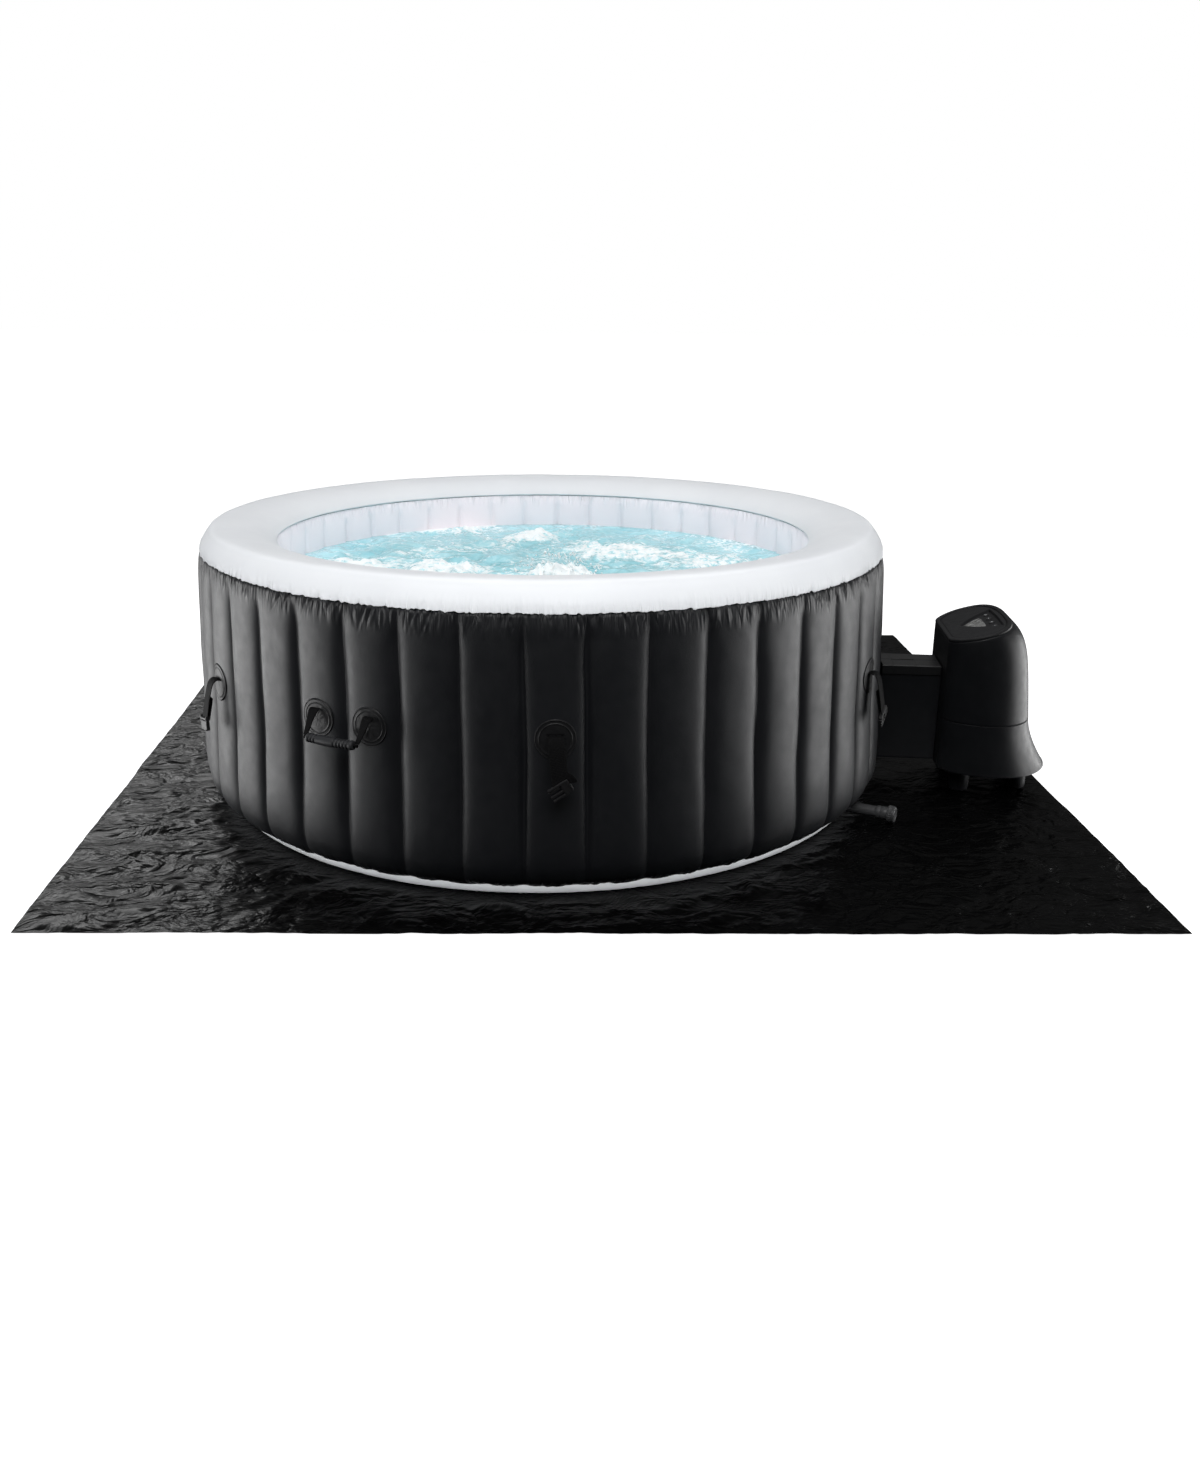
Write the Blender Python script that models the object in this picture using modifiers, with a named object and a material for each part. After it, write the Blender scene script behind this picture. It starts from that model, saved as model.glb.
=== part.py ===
"""Inflatable hot tub with its pump and heater station on a ground cloth.

Run with: blender --background --python part.py
Metres, +Z up. The origin is on the tub's axis, at the underside of the ground cloth.
The tub's front faces -Y. The pump station stands on the +X side.
"""

import math

import bmesh
import bpy
from mathutils import Matrix, Vector

# ---------------------------------------------------------------- driving dimensions
GAP = 0.0003                # clearance between pieces that touch

OUTER_R = 0.900             # tub radius over the flutes
INNER_R = 0.690             # radius of the basin's opening
CROWN_R = 0.843             # radius of the highest line of the rim
TUB_HEIGHT = 0.700
SEAM_Z = 0.643              # seam between the black wall and the white rim
FLUTES = 42                 # air chambers round the wall
FLUTE_DEG = 360.0 / FLUTES
SKIN = 0.003                # thickness of the laminated walls

CLOTH_SIDE = 2.470          # ground cloth, square
CLOTH_X = 0.143             # its centre, off the tub's axis towards the pump
CLOTH_Y = 0.217
CLOTH_TURN = -2.1           # degrees, it lies a little askew
CLOTH_T = 0.003
BASE_R = 0.842              # white base tray at the ground
BASE_TOP_R = 0.8665         # and at its upper edge, under the wall
BASE_TOP_Z = 0.031
FLOOR_R = 0.716             # padded basin floor
FLOOR_Z0 = 0.0063
FLOOR_Z1 = 0.0193

PATCH_Z = 0.378             # centre of the round welded patches
STRAP_ANGLES = (0, 60, 120, 180, 240, 300)
STRAP_WIDTH = 0.035
STRAP_T = 0.002
BUCKLE_TILTS = (38, 30, 15, 25, 20, 8)
BUCKLE_SIZE = (0.012, 0.048, 0.032)     # depth, width, height
BUCKLE_SPOT = (0.9395, 0.0, 0.2820)
HANDLE_ANGLES = {"handle_front": -30, "handle_rear": 150}
HANDLE_SLOT_Z = 0.395
HANDLE_AXIS_X = 0.9065
GRIP_X = 0.940
GRIP_Z = 0.352
GRIP_HALF = 0.060
GRIP_R = 0.0105

DRAIN_ANGLE = 60
DRAIN_Z = 0.029
VALVE_ANGLE = 13 * FLUTE_DEG
VALVE_Z = 0.300

STATION_ANGLE = 9.5 * FLUTE_DEG     # direction of the pump station, from -Y towards +X
FLAT_P = 1.0605             # the station's flat side, measured from the tub's axis
FLAT_HALF = 0.102
SKIRT_Z = 0.068
SPLIT_Z = 0.205
TOP_Z = 0.4125              # height of the sloping top at its flat side
TOP_SLOPE = 0.287
CASE_WALL = 0.003
FOOT_SPOTS = ((1.126, -0.086), (1.126, 0.086), (1.282, -0.052), (1.282, 0.052))
FOOT_R = 0.027

PORT_Q = 0.028              # sideways offset of the two water ports
WATER_Z = 0.140
AIR_Z = 0.240
PIPE_R = 0.0160
PORT_CUT_R = 0.0168
BOX_P0 = 0.905              # hose cover, from the tub wall to the station
BOX_HALF = 0.057
BOX_Z0 = 0.074
BOX_Z1 = 0.3065
LID_TOP_Z = 0.333
LID_LIP = 0.025
LID_END_GAP = 0.0035        # between the lid's end and the station, so that the lid lifts past it
LID_SLOT = (0.060, 0.008)   # length and width of the slot in the lid
LID_SLOT_P = 0.964

FILTER_P = 0.610
FILTER_R = 0.058
BLOWER_SPOT = (1.150, 0.070)
VOLUTE_SPOT = (-0.085, 0.125)


# ---------------------------------------------------------------- scene and collections
def clear_scene():
    for obj in list(bpy.data.objects):
        bpy.data.objects.remove(obj, do_unlink=True)


def new_collection(name):
    collection = bpy.data.collections.new(name)
    bpy.context.scene.collection.children.link(collection)
    return collection


clear_scene()
PARTS = new_collection("inflatable_hot_tub")
CUTTERS = new_collection("cutters")


def new_material(name, colour, roughness, metallic=0.0):
    material = bpy.data.materials.new(name)
    material.use_nodes = True
    shader = material.node_tree.nodes["Principled BSDF"]
    shader.inputs["Base Color"].default_value = (*colour, 1.0)
    shader.inputs["Roughness"].default_value = roughness
    shader.inputs["Metallic"].default_value = metallic
    return material


def new_empty(name, angle_deg=0.0, parent=None):
    """An empty on the tub's axis whose local X points outwards at the given angle."""
    empty = bpy.data.objects.new(name, None)
    empty.rotation_euler = (0.0, 0.0, math.radians(angle_deg - 90.0))
    empty.parent = parent
    PARTS.objects.link(empty)
    return empty


def add_piece(name, mesh, look, parent=None, location=(0, 0, 0), rotation=(0, 0, 0)):
    colour, roughness, metallic = look
    obj = bpy.data.objects.new(name, mesh)
    if len(mesh.materials) == 0:
        mesh.materials.append(new_material(name, colour, roughness, metallic))
    obj.location = location
    obj.rotation_euler = rotation
    obj.parent = parent
    PARTS.objects.link(obj)
    return obj


def add_cutter(name, mesh, parent=None, location=(0, 0, 0), rotation=(0, 0, 0)):
    obj = bpy.data.objects.new(name, mesh)
    obj.location = location
    obj.rotation_euler = rotation
    obj.parent = parent
    obj.hide_render = True
    obj.display_type = "WIRE"
    CUTTERS.objects.link(obj)
    return obj


def boolean(obj, other, operation="DIFFERENCE"):
    modifier = obj.modifiers.new(operation.lower(), "BOOLEAN")
    modifier.operation = operation
    modifier.solver = "EXACT"
    modifier.object = other
    return modifier


# ---------------------------------------------------------------- basic shapes
def box_mesh(name, size):
    """A box centred on its own origin."""
    mesh = bpy.data.meshes.new(name)
    bm = bmesh.new()
    bmesh.ops.create_cube(bm, size=1.0)
    bmesh.ops.scale(bm, vec=Vector(size), verts=bm.verts)
    bm.to_mesh(mesh)
    bm.free()
    return mesh


def rod_mesh(name, radius, length, sides=24):
    """A cylinder along local Z, centred on its own origin."""
    mesh = bpy.data.meshes.new(name)
    bm = bmesh.new()
    bmesh.ops.create_cone(bm, cap_ends=True, segments=sides, radius1=radius, radius2=radius,
                          depth=length)
    bm.to_mesh(mesh)
    bm.free()
    return mesh


def profile_mesh(name, points, closed):
    """A line of (radius, height) points in the XZ plane, for a Screw modifier."""
    mesh = bpy.data.meshes.new(name)
    vertices = [(radius, 0.0, height) for radius, height in points]
    edges = [(i, i + 1) for i in range(len(points) - 1)]
    if closed:
        edges.append((len(points) - 1, 0))
    mesh.from_pydata(vertices, edges, [])
    return mesh


def turned_piece(name, points, look, steps=24, parent=None, location=(0, 0, 0),
                 rotation=(0, 0, 0)):
    """A turned solid. The profile runs down its outer side, then back up inside or at the axis."""
    closed = points[0][0] > 0.0
    obj = add_piece(name, profile_mesh(name, points, closed), look, parent, location, rotation)
    screw = obj.modifiers.new("turn", "SCREW")
    screw.steps = steps
    screw.render_steps = steps
    screw.use_merge_vertices = True
    screw.merge_threshold = 0.00005
    screw.use_smooth_shade = True
    return obj


def outline_mesh(name, loops, thickness):
    """A flat outline in the XY plane, with any inner loops as holes, as a mesh with welded caps."""
    curve = bpy.data.curves.new(name, "CURVE")
    curve.dimensions = "2D"
    curve.fill_mode = "BOTH"
    curve.extrude = thickness / 2
    for loop in loops:
        spline = curve.splines.new("POLY")
        spline.points.add(len(loop) - 1)
        for point, (x, y) in zip(spline.points, loop):
            point.co = (x, y, 0.0, 1.0)
        spline.use_cyclic_u = True
    guide = bpy.data.objects.new(name, curve)
    CUTTERS.objects.link(guide)
    depsgraph = bpy.context.evaluated_depsgraph_get()
    mesh = bpy.data.meshes.new_from_object(guide.evaluated_get(depsgraph))
    bpy.data.objects.remove(guide, do_unlink=True)
    bpy.data.curves.remove(curve)
    bm = bmesh.new()
    bm.from_mesh(mesh)
    bmesh.ops.remove_doubles(bm, verts=bm.verts, dist=0.00002)
    bmesh.ops.recalc_face_normals(bm, faces=bm.faces)
    bm.to_mesh(mesh)
    bm.free()
    mesh.name = name
    return mesh


def loft_mesh(name, rings):
    """An open skin through rings of points, each ring closed on itself, the lowest first."""
    mesh = bpy.data.meshes.new(name)
    bm = bmesh.new()
    rows = [[bm.verts.new(point) for point in ring] for ring in rings]
    count = len(rings[0])
    for low, high in zip(rows, rows[1:]):
        for i in range(count):
            j = (i + 1) % count
            bm.faces.new((low[i], low[j], high[j], high[i]))
    bm.normal_update()
    bm.to_mesh(mesh)
    bm.free()
    mesh.shade_smooth()
    return mesh


def thicken(obj, thickness, offset):
    solidify = obj.modifiers.new("thickness", "SOLIDIFY")
    solidify.thickness = thickness
    solidify.offset = offset
    return solidify


# ---------------------------------------------------------------- looks: colour, roughness, metallic
CLOTH_LOOK = ((0.012, 0.012, 0.013), 0.55, 0.0)
BLACK_LAMINATE = ((0.045, 0.046, 0.050), 0.45, 0.0)
WHITE_LAMINATE = ((0.80, 0.82, 0.85), 0.35, 0.0)
BASIN_LAMINATE = ((0.74, 0.75, 0.84), 0.40, 0.0)
CLEAR_LAMINATE = ((0.60, 0.62, 0.64), 0.50, 0.0)
WEBBING = ((0.008, 0.008, 0.009), 0.80, 0.0)
BLACK_PLASTIC = ((0.014, 0.015, 0.017), 0.32, 0.0)
DARK_PLASTIC = ((0.040, 0.041, 0.044), 0.50, 0.0)
GREY_PLASTIC = ((0.130, 0.132, 0.135), 0.45, 0.0)
PALE_PLASTIC = ((0.70, 0.71, 0.73), 0.40, 0.0)
RUBBER = ((0.020, 0.020, 0.021), 0.70, 0.0)
GLASS = ((0.22, 0.22, 0.21), 0.08, 0.0)
STEEL = ((0.55, 0.56, 0.57), 0.30, 1.0)
BOARD = ((0.02, 0.12, 0.05), 0.60, 0.0)
PAPER = ((0.75, 0.76, 0.78), 0.85, 0.0)

ALONG_X = (0.0, math.radians(90), 0.0)      # turns a turned piece's axis to local +X


# ---------------------------------------------------------------- the inflated tub
def fluted_ring(profile, crest_sign):
    """Rings of a wall whose radius swells at each flute's middle and dips at each seam."""
    rings = []
    columns = FLUTES * 2
    for radius, height, depth in profile:
        ring = []
        for column in range(columns):
            angle = math.radians(column * FLUTE_DEG / 2 - 90.0)
            at_seam = column % 2 == 1
            r = radius - crest_sign * depth if at_seam else radius
            ring.append((r * math.cos(angle), r * math.sin(angle), height))
        rings.append(ring)
    return rings


def make_outer_wall():
    profile = [(0.8690, 0.0340, 0.001), (0.8930, 0.0950, 0.015), (OUTER_R, 0.2800, 0.020),
               (0.8985, 0.5600, 0.016), (0.8895, SEAM_Z - 0.002, 0.001)]
    mesh = loft_mesh("outer_wall", fluted_ring(profile, 1))
    wall = add_piece("outer_wall", mesh, BLACK_LAMINATE)
    thicken(wall, SKIN, -1.0)
    return wall


def make_inner_wall():
    profile = [(0.7020, 0.0200, 0.001), (0.6905, 0.0900, 0.014), (INNER_R, 0.5900, 0.012),
               (0.6950, 0.6500, 0.001)]
    mesh = loft_mesh("inner_wall", fluted_ring(profile, -1))
    wall = add_piece("inner_wall", mesh, BASIN_LAMINATE)
    thicken(wall, SKIN, 1.0)
    return wall


def make_top_rim():
    """The rounded rim, from the outer seam over the crown to the basin's edge."""
    tube_r = TUB_HEIGHT - SEAM_Z
    outside = [(0.8895, SEAM_Z), (0.8830, SEAM_Z + 0.026), (0.8660, SEAM_Z + 0.046),
               (CROWN_R, TUB_HEIGHT), (0.8000, SEAM_Z + tube_r - 0.001),
               (0.7500, SEAM_Z + 0.047), (0.7120, SEAM_Z + 0.030), (INNER_R + 0.002, SEAM_Z + 0.012)]
    inside = [(0.6950, SEAM_Z + 0.0085), (0.7150, SEAM_Z + 0.0265), (0.7510, SEAM_Z + 0.0435),
              (0.8000, SEAM_Z + tube_r - 0.0045), (CROWN_R - 0.001, TUB_HEIGHT - 0.0035),
              (0.8640, SEAM_Z + 0.0425), (0.8800, SEAM_Z + 0.024), (0.8860, SEAM_Z)]
    return turned_piece("top_rim", list(reversed(outside)) + list(reversed(inside)),
                        WHITE_LAMINATE, steps=FLUTES)


def make_wall_beams():
    """Upright webs between the two walls at every seam, welded to a band at their foot."""
    band_r0 = 0.7300
    band_r1 = 0.8350
    band = [(band_r1, 0.0250), (band_r1, 0.0222), (band_r0, 0.0222), (band_r0, 0.0250)]
    beams = turned_piece("wall_beams", band, CLEAR_LAMINATE, steps=FLUTES)
    beam_r0 = 0.7125
    beam_r1 = 0.8520
    beam_z0 = 0.0236
    beam_z1 = 0.6000
    bm = bmesh.new()
    for i in range(FLUTES):
        angle = math.radians((i + 0.5) * FLUTE_DEG - 90.0)
        web = bmesh.ops.create_cube(bm, size=1.0)["verts"]
        bmesh.ops.scale(bm, vec=(beam_r1 - beam_r0, 0.0016, beam_z1 - beam_z0), verts=web)
        middle = ((beam_r0 + beam_r1) / 2, 0.0, (beam_z0 + beam_z1) / 2)
        bmesh.ops.translate(bm, vec=middle, verts=web)
        bmesh.ops.rotate(bm, cent=(0, 0, 0), matrix=Matrix.Rotation(angle, 3, "Z"), verts=web)
    mesh = bpy.data.meshes.new("beam_webs")
    bm.to_mesh(mesh)
    bm.free()
    boolean(beams, add_cutter("beam_webs", mesh), "UNION")
    return beams


def make_base():
    """The ground cloth, the white tray under the tub and the padded basin floor."""
    add_piece("ground_cloth", box_mesh("ground_cloth", (CLOTH_SIDE, CLOTH_SIDE, CLOTH_T)),
              CLOTH_LOOK, location=(CLOTH_X, CLOTH_Y, CLOTH_T / 2),
              rotation=(0, 0, math.radians(CLOTH_TURN)))
    under = CLOTH_T + GAP
    tray = turned_piece("base_tray", [
        (0.0, under + 0.0027), (BASE_R - 0.0025, under + 0.0027),
        (BASE_TOP_R - 0.003, BASE_TOP_Z), (BASE_TOP_R, BASE_TOP_Z), (BASE_R, under), (0.0, under)],
        WHITE_LAMINATE, steps=FLUTES)
    turned_piece("basin_floor", [
        (0.0, FLOOR_Z1), (FLOOR_R - 0.004, FLOOR_Z1), (FLOOR_R, FLOOR_Z1 - 0.004),
        (FLOOR_R, FLOOR_Z0), (0.0, FLOOR_Z0)], BASIN_LAMINATE, steps=FLUTES)
    return tray


def make_bubble_ring():
    """The half-round air channel welded round the edge of the basin floor."""
    foot = FLOOR_Z1 + GAP
    turned_piece("bubble_ring", [
        (0.664, foot + 0.010), (0.676, foot + 0.010), (0.682, foot), (0.658, foot)],
        BASIN_LAMINATE, steps=FLUTES)


def make_drain(outer_wall, tray, beams):
    """A grey pipe out of the tub's foot, ending in a collar and a ribbed screw cap."""
    frame = new_empty("drain_frame", DRAIN_ANGLE)
    pipe_r = 0.0140
    bore_r = 0.0115
    start = 0.7225
    collar = 0.9440
    end = 0.9715
    turned_piece("drain_pipe", [
        (bore_r, end), (0.0155, end), (0.0165, end - 0.003), (0.0165, collar + 0.002),
        (pipe_r, collar), (pipe_r, start), (bore_r, start)], GREY_PLASTIC, 16, frame,
        (0, 0, DRAIN_Z), ALONG_X)
    turned_piece("drain_cap", [
        (0.0, 0.0192), (0.0165, 0.0192), (0.0205, 0.0165), (0.0215, 0.0120), (0.0215, 0.0),
        (0.0, 0.0)], GREY_PLASTIC, 24, frame, (end + GAP, 0, DRAIN_Z), ALONG_X)
    mesh = rod_mesh("drain_hole", pipe_r + 0.0007, 0.30, 16)
    cutter = add_cutter("drain_hole", mesh, frame, (0.85, 0, DRAIN_Z), ALONG_X)
    for piece in (outer_wall, tray, beams):
        boolean(piece, cutter)


def make_air_valve(outer_wall):
    """The inflation valve in the outer wall, with its screw cap."""
    frame = new_empty("valve_frame", VALVE_ANGLE)
    face = OUTER_R + GAP
    turned_piece("air_valve", [
        (0.0110, face + 0.010), (0.0160, face + 0.010), (0.0160, face + 0.004),
        (0.0270, face + 0.003), (0.0270, face), (0.0160, face), (0.0160, face - 0.030),
        (0.0110, face - 0.030)], BLACK_PLASTIC, 16, frame, (0, 0, VALVE_Z), ALONG_X)
    turned_piece("air_valve_cap", [
        (0.0, 0.009), (0.0180, 0.009), (0.0200, 0.007), (0.0200, 0.0), (0.0, 0.0)],
        BLACK_PLASTIC, 16, frame, (face + 0.010 + GAP, 0, VALVE_Z), ALONG_X)
    mesh = rod_mesh("valve_hole", PORT_CUT_R, 0.06, 16)
    boolean(outer_wall, add_cutter("valve_hole", mesh, frame, (OUTER_R, 0, VALVE_Z), ALONG_X))


# ---------------------------------------------------------------- carry handles and cover straps
def make_handle(name, angle):
    """A ribbed grip on webbing that hangs from two round patches, one on each side of a seam."""
    frame = new_empty(name + "_frame", angle)
    for side, offset in (("left", -0.5), ("right", 0.5)):
        patch_frame = new_empty(name + "_patch_frame_" + side, angle + offset * FLUTE_DEG)
        turned_piece(name + "_patch_" + side, [
            (0.0, 0.003), (0.0405, 0.003), (0.0430, 0.0), (0.0, 0.0)], BLACK_LAMINATE, 20,
            patch_frame, (OUTER_R + GAP, 0, PATCH_Z + 0.004), ALONG_X)
    drop = HANDLE_SLOT_Z - GRIP_Z
    reach = GRIP_X - HANDLE_AXIS_X
    length = math.hypot(drop, reach)
    lean = math.atan2(reach, drop)
    thick = 0.0025
    rod_y = 0.0685
    pivot = bpy.data.objects.new(name + "_pivot", None)
    pivot.location = (HANDLE_AXIS_X, 0, HANDLE_SLOT_Z)
    pivot.parent = frame
    PARTS.objects.link(pivot)
    core = add_piece(name + "_webbing", rod_mesh(name + "_webbing", 0.0035, 2 * rod_y + 0.004, 12),
                     WEBBING, pivot, (reach, 0, -drop), (math.radians(90), 0, 0))
    for side in (-1, 1):
        leg = [(side * (rod_y - 0.0125), -0.003), (side * (rod_y + 0.0115), -0.003),
               (side * (rod_y + 0.005), -length - 0.003), (side * (rod_y - 0.005), -length - 0.003)]
        if side > 0:
            leg.reverse()
        mesh = outline_mesh(name + "_leg", [leg], thick)
        # the outline's X lies along the seam and its Y along the leg
        turn = (math.radians(90), 0, math.radians(90))
        hanger = bpy.data.objects.new(name + "_hanger", None)
        hanger.rotation_euler = (0, -lean, 0)
        hanger.parent = pivot
        PARTS.objects.link(hanger)
        boolean(core, add_cutter(name + "_leg", mesh, hanger, (0, 0, 0), turn), "UNION")
    bore_r = 0.0039
    turned_piece(name + "_grip", [
        (GRIP_R - 0.002, GRIP_HALF), (GRIP_R, GRIP_HALF - 0.002), (GRIP_R, -GRIP_HALF + 0.002),
        (GRIP_R - 0.002, -GRIP_HALF), (bore_r, -GRIP_HALF), (bore_r, GRIP_HALF)], DARK_PLASTIC, 12,
        pivot, (reach, 0, -drop), (math.radians(90), 0, 0))


def strip_outline(points, thickness):
    """The edge of a flat strip seen from the side, along its middle line."""
    left = []
    right = []
    for i, (x, y) in enumerate(points):
        before = points[max(i - 1, 0)]
        after = points[min(i + 1, len(points) - 1)]
        run = Vector((after[0] - before[0], after[1] - before[1])).normalized()
        left.append((x - run.y * thickness / 2, y + run.x * thickness / 2))
        right.append((x + run.y * thickness / 2, y - run.x * thickness / 2))
    return left + right[::-1]


def make_cover_strap(number, angle, tilt_deg):
    """A webbing strap that hangs from its slot, with half a side-release buckle on its end."""
    name = "strap_%d" % number
    frame = new_empty(name + "_frame", angle)
    line = [(0.9085, 0.3850), (0.9180, 0.3790), (0.9260, 0.3640), (0.9330, 0.3350),
            (0.9375, 0.3000), (0.9390, 0.2640)]
    mesh = outline_mesh(name + "_webbing", [strip_outline(line, STRAP_T)], STRAP_WIDTH)
    strap = add_piece(name + "_webbing", mesh, WEBBING, frame, (0, 0, 0), (math.radians(90), 0, 0))
    tilt = (math.radians(tilt_deg), 0, 0)
    half_height = BUCKLE_SIZE[2] / 2
    buckle = add_piece(name + "_buckle", box_mesh(name + "_buckle", BUCKLE_SIZE), BLACK_PLASTIC,
                       frame, BUCKLE_SPOT, tilt)
    bar = 0.008                 # the buckle's bar, between its top edge and the webbing's slot
    slot_mesh = box_mesh(name + "_slot", (0.03, STRAP_WIDTH - 0.001, 2 * STRAP_T))
    slot_mesh.transform(Matrix.Translation((0, 0, half_height - bar)))
    boolean(buckle, add_cutter(name + "_slot", slot_mesh, frame, BUCKLE_SPOT, tilt))
    below = 0.08                # everything under the buckle's top edge is cut off the webbing
    clear_mesh = box_mesh(name + "_clear", (0.05, 0.14, below))
    clear_mesh.transform(Matrix.Translation((0, 0, half_height + GAP - below / 2)))
    boolean(strap, add_cutter(name + "_clear", clear_mesh, frame, BUCKLE_SPOT, tilt))


# ---------------------------------------------------------------- ports and hoses
def make_port(name, station, q, z, outer_wall, inner_wall):
    """A flanged fitting through both walls, and the hose from it into the pump station."""
    end = 0.9350
    turned_piece(name + "_fitting", [
        (0.0130, end), (PIPE_R, end), (PIPE_R, 0.6855), (0.0240, 0.6845), (0.0240, 0.6795),
        (0.0130, 0.6795)], PALE_PLASTIC, 16, station, (0, q, z), ALONG_X)
    hose_start = end + GAP
    hose_end = FLAT_P + 0.014
    turned_piece(name + "_hose", [
        (0.0130, hose_end), (PIPE_R, hose_end), (PIPE_R, hose_start), (0.0130, hose_start)],
        RUBBER, 16, station, (0, q, z), ALONG_X)
    mesh = rod_mesh(name + "_hole", PORT_CUT_R, 0.50, 16)
    cutter = add_cutter(name + "_hole", mesh, station, (0.875, q, z), ALONG_X)
    for wall in (outer_wall, inner_wall):
        boolean(wall, cutter)
    return cutter


def make_hose_cover(station):
    """The trough that hides the hoses, and its lift-off lid with a lip and a slot."""
    length = FLAT_P - 0.0012 - BOX_P0
    middle = BOX_P0 + length / 2
    across = (math.radians(90), 0, math.radians(90))
    wall = 0.003
    top = LID_TOP_Z - 0.0035
    trough = [(-BOX_HALF, BOX_Z0), (BOX_HALF, BOX_Z0), (BOX_HALF, top), (BOX_HALF - wall, top),
              (BOX_HALF - wall, BOX_Z0 + wall), (wall - BOX_HALF, BOX_Z0 + wall),
              (wall - BOX_HALF, top), (-BOX_HALF, top)]
    add_piece("hose_cover", outline_mesh("hose_cover", [trough], length), BLACK_PLASTIC, station,
              (middle, 0, 0), across)
    inside = BOX_HALF + 0.0006
    outside = inside + 0.0026
    lip = LID_TOP_Z - LID_LIP
    cap = [(-outside, lip), (-inside, lip), (-inside, LID_TOP_Z - 0.003),
           (inside, LID_TOP_Z - 0.003), (inside, lip), (outside, lip), (outside, LID_TOP_Z),
           (-outside, LID_TOP_Z)]
    lid_length = FLAT_P - LID_END_GAP - BOX_P0
    lid = add_piece("hose_cover_lid", outline_mesh("hose_cover_lid", [cap], lid_length),
                    BLACK_PLASTIC, station, (BOX_P0 + lid_length / 2, 0, 0), across)
    slot = add_cutter("lid_slot", box_mesh("lid_slot", (*LID_SLOT, 0.020)), station,
                      (LID_SLOT_P, 0, LID_TOP_Z))
    boolean(lid, slot)


# ---------------------------------------------------------------- filter in the basin
def make_filter(station):
    """A cup on the basin's wall at the water outlet, and the paper cartridge that lifts out."""
    spot = (FILTER_P, -PORT_Q, 0)
    foot = 0.0350
    top = 0.2600
    turned_piece("filter_housing", [
        (FILTER_R - 0.003, top), (FILTER_R, top), (FILTER_R, foot), (0.0, foot),
        (0.0, foot + 0.004), (FILTER_R - 0.003, foot + 0.004)], PALE_PLASTIC, 16, station,
        spot)
    turned_piece("filter_cartridge", [
        (0.018, 0.245), (0.050, 0.245), (0.050, foot + 0.005), (0.018, foot + 0.005)], PAPER, 16,
        station, spot)


# ---------------------------------------------------------------- the pump and heater station
SPLIT_SHARE = 0.4           # share of the case's height that the lower half takes


def station_outline(share, inset=0.0):
    """The case's outline at a share of its height, anticlockwise, as (outwards, sideways)."""
    flare = max(0.0, 1.0 - share / SPLIT_SHARE) ** 1.6
    rise = max(0.0, (share - SPLIT_SHARE) / (1.0 - SPLIT_SHARE))
    far = 1.300 + 0.058 * flare - 0.034 * rise - 0.040 * rise ** 6 - inset
    half = 0.168 + 0.010 * flare - 0.001 * rise - 0.004 * rise ** 8 - inset
    middle = 1.195 - 0.055 * share
    flat = FLAT_P + inset
    corner = FLAT_HALF - inset
    near_power = 2.0 / 1.7
    far_power = 2.0 / (2.1 + 0.8 * share)
    side = []
    for k in range(5):
        turn = math.radians(90.0 * k / 5)
        side.append((middle - (middle - flat) * math.cos(turn) ** near_power,
                     corner + (half - corner) * math.sin(turn) ** near_power))
    for k in range(6):
        turn = math.radians(90.0 * k / 6)
        side.append((middle + (far - middle) * math.sin(turn) ** far_power,
                     half * math.cos(turn) ** far_power))
    tip = [(far, 0.0)]
    return tip + side[::-1] + [(p, -q) for p, q in side]


def station_top(p):
    """Height of the sloping top at a distance from the tub's axis."""
    return TOP_Z + TOP_SLOPE * (p - FLAT_P)


def make_case(station):
    """The lower half with its feet and the upper half, both thin shells."""
    low_rings = []
    for step in (0.0, 0.3, 0.65, 1.0):
        z = SKIRT_Z + step * (SPLIT_Z - GAP - SKIRT_Z)
        low_rings.append([(p, q, z) for p, q in station_outline(step * SPLIT_SHARE)])
    lower = add_piece("station_base", loft_mesh("station_base", low_rings), BLACK_PLASTIC, station)
    thicken(lower, CASE_WALL, -1.0)

    plate_z = 0.0745
    plate = outline_mesh("station_plate", [station_outline(0.04, 0.0015)], 0.004)
    boolean(lower, add_cutter("station_plate", plate, station, (0, 0, plate_z)), "UNION")
    foot_foot = CLOTH_T + GAP
    for number, (p, q) in enumerate(FOOT_SPOTS):
        foot = rod_mesh("station_foot", FOOT_R, plate_z - foot_foot, 16)
        name = "station_foot_%d" % number
        spot = (p, q, (plate_z + foot_foot) / 2)
        boolean(lower, add_cutter(name, foot, station, spot), "UNION")

    high_rings = []
    for step in (0.0, 0.3, 0.6, 0.8, 0.93, 1.0):
        outline = station_outline(SPLIT_SHARE + step * (1.0 - SPLIT_SHARE))
        high_rings.append([(p, q, SPLIT_Z + step * (station_top(p) - SPLIT_Z)) for p, q in outline])
    upper = add_piece("station_shell", loft_mesh("station_shell", high_rings), BLACK_PLASTIC,
                      station)
    thicken(upper, CASE_WALL, -1.0)
    return lower, upper


def panel_outline(inset):
    """The case's top outline in the plane of the sloping top."""
    stretch = math.hypot(1.0, TOP_SLOPE)
    return [((p - FLAT_P) * stretch, q) for p, q in station_outline(1.0, inset)]


def bowed_triangle(tip_x, base_x, half_width, bow):
    """A triangle pointing at the tub, whose two long sides bow outwards."""
    corners = [Vector((tip_x, 0.0)), Vector((base_x, -half_width)), Vector((base_x, half_width))]
    points = []
    for i, start in enumerate(corners):
        end = corners[(i + 1) % 3]
        run = end - start
        outwards = Vector((run.y, -run.x)).normalized()
        swell = bow if i != 1 else bow * 0.3
        for k in range(5):
            t = k / 5
            points.append(tuple(start + run * t + outwards * swell * math.sin(math.pi * t)))
    return points


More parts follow.
